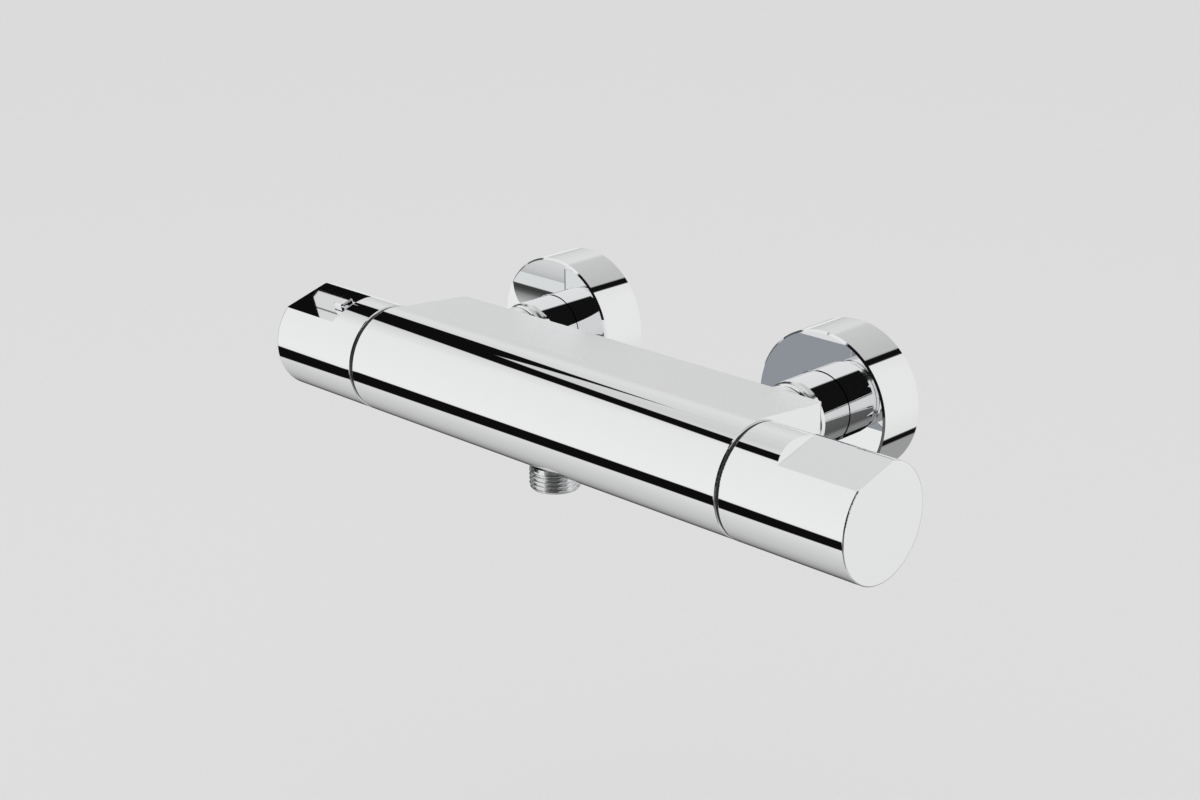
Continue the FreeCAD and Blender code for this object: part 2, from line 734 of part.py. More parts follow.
# ---------------------------------------------------------------- thermostatic cartridge
def cartridge_housing():
    """Cartridge sleeve with hot and cold ports, flange, nose and seal grooves."""
    start = cartridge_seat_x + seated_gap
    radius = cartridge_bore_radius - seated_gap
    bearing = temperature_shaft_radius + turning_gap
    head_room = shaft_head_start() + shaft_head_length + seated_gap
    outer = [(start, radius), (cartridge_flange_start, radius),
             (cartridge_flange_start, end_bore_radius - 2.0 * seated_gap),
             (cartridge_flange_end, end_bore_radius - 2.0 * seated_gap),
             (cartridge_flange_end, nose_radius), (cartridge_nose_end, nose_radius)]
    inner = [(start, cartridge_lip_radius), (hot_seat_x, cartridge_lip_radius),
             (hot_seat_x, cartridge_inner_radius), (cold_seat_x, cartridge_inner_radius),
             (cold_seat_x, cartridge_lip_radius), (head_room, cartridge_lip_radius),
             (head_room, bearing), (cartridge_nose_end, bearing)]
    housing = turned_x(outer, inner)
    hot_start = hot_seat_x - body_gap
    cold_start = cold_seat_x - port_width - cut_over
    for start, length in ((hot_start, hot_waterway_length), (cold_start, cold_waterway_length)):
        rim = radius + cut_over
        channel = turned_x([(start, rim), (start + length, rim)],
                           [(start, waterway_radius), (start + length, waterway_radius)])
        housing = housing.cut(channel)
    for step in range(port_count):
        middle = port_turn + 360.0 * step / port_count
        first = middle - port_half_angle
        last = middle + port_half_angle
        for start in (hot_seat_x, cold_seat_x - port_width):
            port = sector_x(cartridge_inner_radius - cut_over, radius, start, start + port_width, first, last)
            housing = housing.cut(port)
    for place in cartridge_groove_places():
        housing = housing.cut(groove_x(radius - 2.0 * ring_section, place, radius))
    return housing


def cartridge_groove_places():
    """Where the three seal grooves of the cartridge start."""
    before_hot = hot_seat_x - 2.0 * ring_groove_width
    between_ports = hot_seat_x + hot_waterway_length + body_gap
    behind_cold = inlet_xs["right"] + inlet_way_radius + cut_over
    return (before_hot, between_ports, behind_cold)


def cartridge_seals():
    """Three rubber rings round the cartridge."""
    mean = cartridge_bore_radius - ring_section - seal_gap
    rings = [seal_ring(Vector(place + ring_groove_width / 2.0, 0.0, 0.0), X, mean)
             for place in cartridge_groove_places()]
    return Part.makeCompound(rings)


def cartridge_ring_nut():
    """Slotted ring nut that holds the cartridge in the body."""
    start = cartridge_flange_end + seated_gap
    end = start + ring_nut_length
    radius = end_bore_radius - seated_gap
    bore = nose_radius + seated_gap
    nut = turned_x([(start, radius), (end, radius)], [(start, bore), (end, bore)])
    for step in range(ring_nut_slots):
        slot = radial_block(end, ring_nut_slot_depth, ring_nut_slot_width / 2.0,
                            bore - cut_over, radius + cut_over,
                            ring_nut_slot_turn + 360.0 * step / ring_nut_slots)
        nut = nut.cut(slot)
    return nut


def shaft_head_start():
    """Inner end of the temperature spindle's head."""
    return cold_seat_x + shaft_head_room


def temperature_spindle():
    """Turning spindle that screws the thermostat in and out."""
    start = shaft_head_start()
    head_end = start + shaft_head_length
    shaft_end = cartridge_nose_end - shaft_end_gap
    outer = [(start, shaft_head_radius), (head_end, shaft_head_radius), (head_end, temperature_shaft_radius),
             (shaft_end, temperature_shaft_radius)]
    pocket_end = shaft_end - shaft_pocket_wall
    inner = [(start, temperature_shaft_bore), (pocket_end, temperature_shaft_bore),
             (pocket_end, 0.0), (shaft_end, 0.0)]
    spindle = turned_x(outer, inner)
    splines = spline_bar(spline_root_radius, spline_tip_radius, shaft_end - join_over, spline_end)
    spindle = spindle.fuse(splines)
    return spindle.cut(spindle_groove(temperature_shaft_radius, cartridge_nose_end - shaft_seal_place))


def spindle_groove(shaft_radius, start):
    """Cut for the small seal of a spindle."""
    end = start + small_groove_width
    floor = shaft_radius - 2.0 * small_ring_section - seal_gap
    outer = [(start, shaft_radius + cut_over), (end, shaft_radius + cut_over)]
    return turned_x(outer, [(start, floor), (end, floor)])


def spindle_seal(shaft_radius, start):
    """Small rubber ring in the groove of a spindle."""
    centre = Vector(start + small_groove_width / 2.0, 0.0, 0.0)
    return seal_ring(centre, X, shaft_radius - small_ring_section, small_ring_section)


def wax_element():
    """Wax thermostat: capsule in the mixed water, flange, guide and pin."""
    flange_start = hot_seat_x - wax_flange_step
    flange_end = flange_start + wax_flange_length
    guide_end = cold_seat_x + wax_guide_reach
    capsule_start = flange_start - wax_capsule_length
    outer = [(capsule_start, wax_capsule_radius - wax_capsule_nose),
             (capsule_start + wax_capsule_nose, wax_capsule_radius), (flange_start, wax_capsule_radius),
             (flange_start, wax_flange_radius), (flange_end, wax_flange_radius),
             (flange_end, wax_guide_radius), (guide_end, wax_guide_radius),
             (guide_end, wax_pin_radius), (pusher_start() - seal_gap, wax_pin_radius)]
    return turned_x(outer)


def shuttle_start():
    """End of the shuttle that faces the hot seat."""
    return hot_seat_x - wax_flange_step + wax_flange_length + seated_gap


def regulator_shuttle():
    """Sleeve that moves between the hot seat and the cold seat."""
    start = shuttle_start()
    end = start + shuttle_length
    radius = shuttle_radius
    bore = radius - shuttle_wall
    groove = shuttle_groove_start()
    floor = radius - 2.0 * shuttle_seal_section
    ring = turned_x([(start, radius), (groove, radius), (groove, floor),
                     (groove + shuttle_groove_width, floor),
                     (groove + shuttle_groove_width, radius), (end, radius)], [(start, bore), (end, bore)])
    hub_end = start + shuttle_hub_length
    guide = wax_guide_radius + seated_gap
    shuttle = turned_x([(start, shuttle_hub_radius), (hub_end, shuttle_hub_radius)],
                       [(start, guide), (hub_end, guide)])
    for step in range(shuttle_arms):
        arm = radial_block(start + shuttle_arm_length / 2.0, shuttle_arm_length / 2.0,
                           shuttle_arm_width / 2.0,
                           shuttle_hub_radius - join_over, bore + join_over, 360.0 * step / shuttle_arms)
        shuttle = shuttle.fuse(arm)
    return shuttle.fuse(ring)


shuttle_radius = cartridge_inner_radius - body_gap / 2.0


def shuttle_groove_start():
    """Where the shuttle's seal groove starts."""
    return shuttle_start() + (shuttle_length - shuttle_groove_width) / 2.0


def shuttle_seal():
    """Rubber ring that parts hot from cold round the shuttle."""
    centre = Vector(shuttle_groove_start() + shuttle_groove_width / 2.0, 0.0, 0.0)
    mean = cartridge_inner_radius - shuttle_seal_section - seal_gap
    return seal_ring(centre, X, mean, shuttle_seal_section)


def pusher_start():
    """Inner end of the overload pusher."""
    return shaft_head_start() + pusher_inset


def overload_pusher():
    """Cup between the thermostat's pin and the overload spring."""
    start = pusher_start()
    radius = temperature_shaft_bore - body_gap / 2.0
    return turned_x([(start, radius - pusher_chamfer), (start + pusher_chamfer, radius),
                     (start + pusher_length, radius)])


def overload_spring():
    """Spring that gives way when the thermostat is driven past its seat."""
    start = pusher_start() + pusher_length + seal_gap
    end = cartridge_nose_end - shaft_end_gap - shaft_pocket_wall - seal_gap
    return coil(overload_spring_radius, overload_spring_wire, end - start, overload_spring_turns,
                Vector(start, 0.0, 0.0), X)


def return_spring():
    """Spring that pushes the thermostat back towards the spindle."""
    start = cartridge_seat_x - chamber_length + seal_gap
    end = hot_seat_x - wax_flange_step - seal_gap
    return coil(return_spring_radius, return_spring_wire, end - start, return_spring_turns,
                Vector(start, 0.0, 0.0), X)


# ---------------------------------------------------- ceramic headwork, drawn on the right and mirrored
disc_start = headwork_seat_u + seated_gap + seal_thickness + seated_gap
moving_disc_start = disc_start + disc_thickness + seal_gap
driver_start = moving_disc_start + disc_thickness + seated_gap
driver_end = driver_start + driver_length
headwork_groove_start = end_bore_start - headwork_groove_step - ring_groove_width
tang_inner_radius = disc_opening_outer + driver_tang_step
tang_outer_radius = headwork_cavity_radius - 2.0 * body_gap
flow_groove_start = headwork_nose_end - flow_seal_place


def headwork_housing():
    """Brass headwork: cavity for the discs, side windows, hexagon and nose."""
    start = headwork_seat_u + seated_gap
    radius = headwork_bore_radius - seated_gap
    cavity_end = headwork_groove_start - cut_over
    bearing = flow_shaft_radius + turning_gap
    outer = [(start, radius), (headwork_hex_end, radius), (headwork_hex_end, nose_radius),
             (headwork_nose_end, nose_radius)]
    housing = turned_x(outer).fuse(hexagon(headwork_hex_width, headwork_hex_start, headwork_hex_end, X, O))
    hollow = turned_x([(start - cut_over, headwork_cavity_radius), (cavity_end, headwork_cavity_radius),
                       (cavity_end, bearing), (headwork_nose_end + cut_over, bearing)])
    housing = housing.cut(hollow)
    half = headwork_window_width / 2.0
    for step in range(headwork_window_count):
        middle = 360.0 * step / headwork_window_count
        window = sector_x(headwork_cavity_radius - cut_over, radius + cut_over, headwork_window_u - half,
                          headwork_window_u + half, middle - headwork_window_half_angle,
                          middle + headwork_window_half_angle)
        housing = housing.cut(window)
    return housing.cut(groove_x(radius - 2.0 * ring_section, headwork_groove_start, radius))


def headwork_seal():
    """Rubber ring round the headwork."""
    place = headwork_groove_start + ring_groove_width / 2.0
    return seal_ring(Vector(place, 0.0, 0.0), X, headwork_bore_radius - ring_section - seal_gap)


def seat_seal():
    """Rubber seat under the fixed disc."""
    start = headwork_seat_u + seated_gap
    end = start + seal_thickness
    radius = headwork_cavity_radius - seated_gap
    return turned_x([(start, radius), (end, radius)], [(start, seal_bore_radius), (end, seal_bore_radius)])


def ceramic_disc(start, turn):
    """Ceramic disc with two sector openings, turned about the axis."""
    end = start + disc_thickness
    disc = rod_x(headwork_cavity_radius - seated_gap - turning_gap, start, end)
    for side in (0.0, 180.0):
        middle = turn + side
        opening = sector_x(disc_opening_inner, disc_opening_outer, start - cut_over, end + cut_over,
                           middle - disc_opening_half_angle, middle + disc_opening_half_angle)
        disc = disc.cut(opening)
    return disc


def driver_tangs():
    """Two tangs of the spindle that drive the moving disc."""
    tangs = []
    for side in (0.0, 180.0):
        tangs.append(radial_block(driver_start - driver_tang_depth / 2.0 + join_over / 2.0,
                                  (driver_tang_depth + join_over) / 2.0, driver_tang_width / 2.0,
                                  tang_inner_radius, tang_outer_radius, 90.0 + side))
    return tangs


def fixed_disc():
    """Lower ceramic disc; it stays in the headwork."""
    return ceramic_disc(disc_start, 0.0)


def moving_disc():
    """Upper ceramic disc; at rest it closes the openings of the fixed disc."""
    disc = ceramic_disc(moving_disc_start, 90.0)
    end = moving_disc_start + disc_thickness
    for side in (0.0, 180.0):
        notch = radial_block(end, driver_tang_depth, driver_tang_width / 2.0 + seated_gap,
                             tang_inner_radius - seated_gap, headwork_cavity_radius + cut_over, 90.0 + side)
        disc = disc.cut(notch)
    return disc


def flow_spindle():
    """Turning spindle of the headwork, with its driver, circlip groove and spline."""
    circlip_start = headwork_nose_end + seated_gap
    groove_end = circlip_start + circlip_thickness + seal_gap
    floor = flow_shaft_radius - circlip_groove_depth
    head = headwork_cavity_radius - body_gap
    outer = [(driver_start, head), (driver_end, head), (driver_end, flow_shaft_radius),
             (circlip_start - seal_gap, flow_shaft_radius), (circlip_start - seal_gap, floor),
             (groove_end, floor),
             (groove_end, flow_shaft_radius), (hub_start, flow_shaft_radius)]
    spindle = turned_x(outer)
    for tang in driver_tangs():
        spindle = spindle.fuse(tang)
    spindle = spindle.cut(driver_relief(head))
    splines = spline_bar(spline_root_radius, spline_tip_radius, hub_start - join_over, spline_end)
    spindle = spindle.fuse(splines)
    return spindle.cut(spindle_groove(flow_shaft_radius, flow_groove_start))


def driver_relief(head):
    """Waterway cuts in the driver above the moving disc's openings, kept off its two tangs."""
    cuts = []
    for side in (90.0, 270.0):
        cuts.append(sector_x(disc_opening_inner, head + cut_over, driver_start - cut_over,
                             driver_start + driver_relief_length, side - disc_opening_half_angle,
                             side + disc_opening_half_angle))
    keep = [radial_block(driver_start, driver_relief_length + cut_over,
                         driver_tang_width / 2.0 + driver_relief_margin,
                         tang_inner_radius - driver_relief_margin, headwork_cavity_radius, side)
            for side in (90.0, 270.0)]
    return cuts[0].fuse(cuts[1]).cut(keep[0].fuse(keep[1]))


def flow_circlip():
    """Spring clip that holds the spindle in the nose, open on one side."""
    start = headwork_nose_end + seated_gap
    inner = flow_shaft_radius - circlip_groove_depth + seal_gap
    return sector_x(inner, circlip_radius, start, start + circlip_thickness,
                    -circlip_half_angle, circlip_half_angle)


# ---------------------------------------------------------------- rings between body and handles
def slide_ring():
    """Dark ring that closes the seam and centres the handle."""
    lip_end = body_half_length + slide_ring_lip
    rim = bar_radius - slide_ring_recess
    spigot = end_bore_radius - seated_gap
    sleeve = handle_bore_radius - 2.0 * turning_gap
    outer = [(body_half_length - slide_ring_spigot, spigot), (body_half_length, spigot),
             (body_half_length, rim),
             (lip_end, rim), (lip_end, sleeve), (slide_ring_end, sleeve)]
    narrow = slide_ring_bore - slide_ring_step
    inner = [(body_half_length - slide_ring_spigot, narrow), (body_half_length, narrow),
             (body_half_length, slide_ring_bore), (slide_ring_end, slide_ring_bore)]
    return turned_x(outer, inner)


def stop_ring(first, last):
    """Ring splined to the nose, with the lug that limits the handle's turn."""
    bore = nose_radius + seated_gap
    ring = turned_x([(stop_ring_start, stop_ring_radius), (stop_ring_end, stop_ring_radius)],
                    [(stop_ring_start, bore), (stop_ring_end, bore)])
    lug = sector_x(lug_inner_radius, stop_ring_radius, stop_ring_end - join_over, stop_lug_end, first, last)
    return ring.fuse(lug)


# ---------------------------------------------------------------- handles
def hub(length, button_x, button_angle, screw_x, screw_angle):
    """Plastic hub between the spindle and the handle's shell, with stop lug and button pocket."""
    end = hub_start + length
    body = rod_x(hub_radius, hub_start, end)
    hollow_start = hub_start + hub_web
    rim = hub_radius - hub_wall
    hollow = turned_x([(hollow_start, rim), (end + cut_over, rim)],
                      [(hollow_start, hub_boss_radius), (end + cut_over, hub_boss_radius)])
    for step in range(hub_rib_count):
        rib = radial_block((hollow_start + end) / 2.0, (end - hollow_start) / 2.0 + cut_over,
                           hub_rib_width / 2.0,
                           hub_boss_radius - join_over, rim + join_over,
                           button_angle + 360.0 * (step + 0.5) / hub_rib_count)
        hollow = hollow.cut(rib)
    pocket_half_length = button_half_length + button_lip + body_gap
    pocket_half_width = button_half_width + button_lip + body_gap
    block = radial_block(button_x, pocket_half_length + hub_wall / 2.0, pocket_half_width + hub_wall / 2.0,
                         hub_boss_radius - join_over, hub_radius + cut_over, button_angle)
    post_half = grub_screw_radius + grub_post_wall
    post = radial_block(screw_x, post_half, post_half, hub_boss_radius - join_over, rim + join_over,
                        screw_angle)
    body = body.cut(hollow.cut(block).cut(post))
    lug = sector_x(lug_inner_radius, stop_ring_radius, stop_ring_end + body_gap, hub_start + join_over,
                   button_angle - stop_lug_half_angle, button_angle + stop_lug_half_angle)
    body = body.fuse(lug)
    socket = spline_bar(spline_root_radius + seated_gap, spline_tip_radius + seated_gap, hub_start - cut_over,
                        end + cut_over)
    pocket = radial_block(button_x, pocket_half_length, pocket_half_width, button_pocket_floor,
                          hub_radius + cut_over, button_angle)
    screw_hole = radial_rod(screw_x, grub_screw_radius + seal_gap, spline_tip_radius,
                            hub_radius + cut_over, screw_angle)
    return body.cut(socket.multiFuse([pocket, screw_hole]))


def handle_shell(length, flat_length, flat_height, button_x, button_angle, screw_x, screw_angle):
    """Plated cup of a handle with its grip flat, button window and screw hole."""
    end = handle_start + length
    shell = rod_x(bar_radius, handle_start, end)
    shell = round_circular_edges(shell, handle_edge_round, (handle_start, end), bar_radius)
    shoulder = end - flat_length
    above = bar_radius + cut_over
    run = flat_shoulder_run * (above - flat_height) / (bar_radius - flat_height)
    side = Vector(0.0, -above, 0.0)
    profile = [Vector(shoulder, 0.0, flat_height), Vector(shoulder - run, 0.0, above),
               Vector(end + cut_over, 0.0, above), Vector(end + cut_over, 0.0, flat_height)]
    flat = polygon_face([point + side for point in profile]).extrude(Y * 2.0 * above)
    flat.rotate(O, X, flat_angle)
    cavity = rod_x(handle_bore_radius, handle_start - cut_over, end - handle_end_wall)
    window = radial_block(button_x, button_half_length + body_gap, button_half_width + body_gap,
                          button_pocket_floor, above, button_angle, button_corner)
    screw_hole = radial_rod(screw_x, grub_screw_radius + seal_gap, hub_boss_radius, above, screw_angle)
    return shell.cut(flat.multiFuse([cavity, window, screw_hole]))


def push_button(x, top, angle):
    """Sprung button: cap with bevelled top and a lip that keeps it behind the shell."""
    low = button_lip_low()
    cap = upright_block(x, button_half_length, button_half_width, low, top, button_corner)
    crown = [edge for edge in cap.Edges if abs(edge.BoundBox.ZMin - top) < 1e-6]
    cap = cap.makeChamfer(button_chamfer, crown)
    lip = upright_block(x, button_half_length + button_lip, button_half_width + button_lip, low,
                        low + button_lip_thickness, button_corner)
    button = cap.fuse(lip)
    button.rotate(O, X, angle)
    return button


def button_lip_low():
    """Underside of a button's lip, below the bore of the handle."""
    offset = button_half_width + button_lip
    under_bore = math.sqrt(handle_bore_radius ** 2 - offset ** 2)
    return under_bore - body_gap - button_lip_thickness


def button_spring(x, angle):
    """Spring between the hub and a button."""
    length = button_lip_low() - button_pocket_floor - 2.0 * seal_gap
    start = Vector(x, 0.0, 0.0) + direction(angle) * (button_pocket_floor + seal_gap)
    return coil(button_spring_radius, button_spring_wire, length, button_spring_turns, start,
                direction(angle))


def grub_screw(x, angle):
    """Socket set screw that holds a handle on its hub."""
    low = spline_tip_radius + seated_gap + body_gap
    high = hub_radius + grub_stand
    screw = radial_rod(x, grub_screw_radius, low, high, 0.0)
    key = hexagon(grub_hex_width, high - grub_hex_depth, high + cut_over, Z, Vector(x, 0.0, 0.0))
    screw = screw.cut(key)
    screw.rotate(O, X, angle)
    return screw


# ---------------------------------------------------------------- assembly
temperature_button_x = handle_start + temperature_button_inset
temperature_screw_x = hub_start + temperature_hub_length / 2.0
flow_shoulder_u = handle_start + flow_handle_length - flow_flat_length
flow_button_u = flow_shoulder_u + flow_button_to_shoulder
flow_screw_u = hub_start + flow_hub_length / 2.0

temperature_lug_first = temperature_button_angle + stop_lug_half_angle + hotter_range + stop_margin
temperature_lug_last = temperature_button_angle - stop_lug_half_angle - colder_range - stop_margin + 360.0
flow_lug_first = flat_angle + stop_lug_half_angle + stop_margin
flow_lug_last = flat_angle - stop_lug_half_angle - flow_range - stop_margin + 360.0

nodes = {
    "main_body": main_body(),
    "shower_outlet": shower_outlet(),
    "outlet_seal": outlet_seal(),
    "cartridge_housing": cartridge_housing(),
    "cartridge_seals": cartridge_seals(),
    "cartridge_ring_nut": cartridge_ring_nut(),
    "temperature_spindle": temperature_spindle(),
    "wax_element": wax_element(),
    "regulator_shuttle": regulator_shuttle(),
    "shuttle_seal": shuttle_seal(),
    "temperature_spindle_seal": spindle_seal(temperature_shaft_radius, cartridge_nose_end - shaft_seal_place),
    "flow_spindle_seal": other_side(spindle_seal(flow_shaft_radius, flow_groove_start)),
    "overload_pusher": overload_pusher(),
    "overload_spring": overload_spring(),
    "return_spring": return_spring(),
    "temperature_slide_ring": slide_ring(),
    "temperature_stop_ring": stop_ring(temperature_lug_first, temperature_lug_last),
    "temperature_hub": hub(temperature_hub_length, temperature_button_x, temperature_button_angle,
                           temperature_screw_x, grub_screw_angle_temperature),
    "temperature_handle": handle_shell(temperature_handle_length, temperature_flat_length,
                                       temperature_flat_height, temperature_button_x,
                                       temperature_button_angle, temperature_screw_x,
                                       grub_screw_angle_temperature),
    "temperature_handle_screw": grub_screw(temperature_screw_x, grub_screw_angle_temperature),
    "temperature_button": push_button(temperature_button_x, bar_radius + temperature_button_stand,
                                      temperature_button_angle),
    "temperature_button_spring": button_spring(temperature_button_x, temperature_button_angle),
    "headwork_housing": other_side(headwork_housing()),
    "headwork_seal": other_side(headwork_seal()),
    "headwork_seat_seal": other_side(seat_seal()),
    "fixed_ceramic_disc": other_side(fixed_disc()),
    "moving_ceramic_disc": other_side(moving_disc()),
    "flow_spindle": other_side(flow_spindle()),
    "flow_circlip": other_side(flow_circlip()),
    "flow_slide_ring": other_side(slide_ring()),
    "flow_stop_ring": other_side(stop_ring(flow_lug_first, flow_lug_last)),
    "flow_hub": other_side(hub(flow_hub_length, flow_button_u, flat_angle, flow_screw_u,
                               grub_screw_angle_flow)),
    "flow_handle": other_side(handle_shell(flow_handle_length, flow_flat_length, flow_flat_height,
                                           flow_button_u, flat_angle, flow_screw_u,
                                           grub_screw_angle_flow)),
    "flow_handle_screw": other_side(grub_screw(flow_screw_u, grub_screw_angle_flow)),
    "flow_button": other_side(push_button(flow_button_u, flow_flat_height + button_stand, flat_angle)),
    "flow_button_spring": other_side(button_spring(flow_button_u, flat_angle)),
}
for side, inlet_x in inlet_xs.items():
    nodes["inlet_tail_" + side] = inlet_tail(inlet_x)
    nodes["union_nut_" + side] = union_nut(inlet_x)
    nodes["inlet_washer_" + side] = inlet_washer(inlet_x)
    nodes["inlet_strainer_" + side] = inlet_strainer(inlet_x)
    nodes["eccentric_union_" + side] = eccentric_union(inlet_x)
    nodes["escutcheon_" + side] = escutcheon(inlet_x)
    nodes["check_valve_housing_" + side] = check_housing(inlet_x)
    nodes["check_valve_poppet_" + side] = check_poppet(inlet_x)
    nodes["check_valve_spring_" + side] = check_spring(inlet_x)

os.makedirs("parts", exist_ok=True)
for name, shape in nodes.items():
    placed = shape.copy()
    placed.translate(row_shift)
    placed.exportStep(os.path.join("parts", name + ".step"))
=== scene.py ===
import json
import logging
import math
from dataclasses import dataclass, field
from enum import Enum

import bpy
from mathutils import Matrix, Vector


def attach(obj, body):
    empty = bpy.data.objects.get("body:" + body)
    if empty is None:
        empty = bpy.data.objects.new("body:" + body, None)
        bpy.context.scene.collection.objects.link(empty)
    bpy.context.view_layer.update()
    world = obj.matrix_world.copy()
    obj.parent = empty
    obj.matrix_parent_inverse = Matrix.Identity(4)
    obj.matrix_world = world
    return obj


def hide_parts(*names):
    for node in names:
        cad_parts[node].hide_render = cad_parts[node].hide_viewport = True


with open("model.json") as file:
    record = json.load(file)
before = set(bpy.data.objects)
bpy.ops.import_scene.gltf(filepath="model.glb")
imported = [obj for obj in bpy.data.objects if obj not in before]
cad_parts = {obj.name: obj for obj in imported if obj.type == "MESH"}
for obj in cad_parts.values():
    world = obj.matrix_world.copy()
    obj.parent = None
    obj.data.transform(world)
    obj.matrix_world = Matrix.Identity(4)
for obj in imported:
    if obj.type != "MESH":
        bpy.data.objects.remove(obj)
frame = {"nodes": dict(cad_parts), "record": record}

# Thermostatic shower valve: the finishes of its parts, the threads on its connections, the dark
# rings in its seams and the pale studio round it. Metres, degrees and display values from 0 to
# 255. The bar lies along X, the wall is towards +Y.

log = logging.getLogger("shower_valve")

BAR_Y = -0.0935
BAR_Z = 0.00284
INLETS = {"left": -0.075, "right": 0.075}
PIPE_CREST = 0.0104775
PIPE_PITCH = 0.001814
THREAD_SIZES = ("Radius", "Start", "End", "Shift", "Pitch", "Depth", "Fade")
RINGS_PER_TURN = 12.0
SHARP_ANGLE = 48.0


# ---------------------------------------------------------------- node trees
class Wire:
    """A socket of a node tree that takes part in sums written as Python expressions."""

    def __init__(self, nodes: "NodeWriter", socket: bpy.types.NodeSocket) -> None:
        """Keeps the socket and the writer whose tree it is in.

        Args:
            nodes: The writer of the tree.
            socket: The output that this wire carries.
        """
        self.nodes = nodes
        self.socket = socket

    def __add__(self, other: "Wire | float") -> "Wire":
        """Sum of two values."""
        return self.nodes.math("ADD", self, other)

    def __radd__(self, other: float) -> "Wire":
        """Sum with the number on the left."""
        return self.nodes.math("ADD", other, self)

    def __sub__(self, other: "Wire | float") -> "Wire":
        """Difference of two values."""
        return self.nodes.math("SUBTRACT", self, other)

    def __rsub__(self, other: float) -> "Wire":
        """Difference with the number on the left."""
        return self.nodes.math("SUBTRACT", other, self)

    def __mul__(self, other: "Wire | float") -> "Wire":
        """Product of two values."""
        return self.nodes.math("MULTIPLY", self, other)

    def __rmul__(self, other: float) -> "Wire":
        """Product with the number on the left."""
        return self.nodes.math("MULTIPLY", other, self)

    def __truediv__(self, other: "Wire | float") -> "Wire":
        """Quotient of two values."""
        return self.nodes.math("DIVIDE", self, other)

    def __neg__(self) -> "Wire":
        """The value with its sign turned."""
        return self.nodes.math("MULTIPLY", self, -1.0)

    def __abs__(self) -> "Wire":
        """The value without its sign."""
        return self.nodes.math("ABSOLUTE", self, 0.0)

    def at_least(self, other: "Wire | float") -> "Wire":
        """The larger of two values."""
        return self.nodes.math("MAXIMUM", self, other)

    def at_most(self, other: "Wire | float") -> "Wire":
        """The smaller of two values."""
        return self.nodes.math("MINIMUM", self, other)

    def step(self, low: float, high: float) -> "Wire":
        """Soft step of this value.

        Args:
            low: Where the step starts from 0.
            high: Where it reaches 1.

        Returns:
            A value from 0 to 1.
        """
        made = self.nodes.add("ShaderNodeMapRange", {"interpolation_type": "SMOOTHSTEP", "clamp": True},
                              {"Value": self, "From Min": low, "From Max": high})
        return Wire(self.nodes, made.outputs[0])


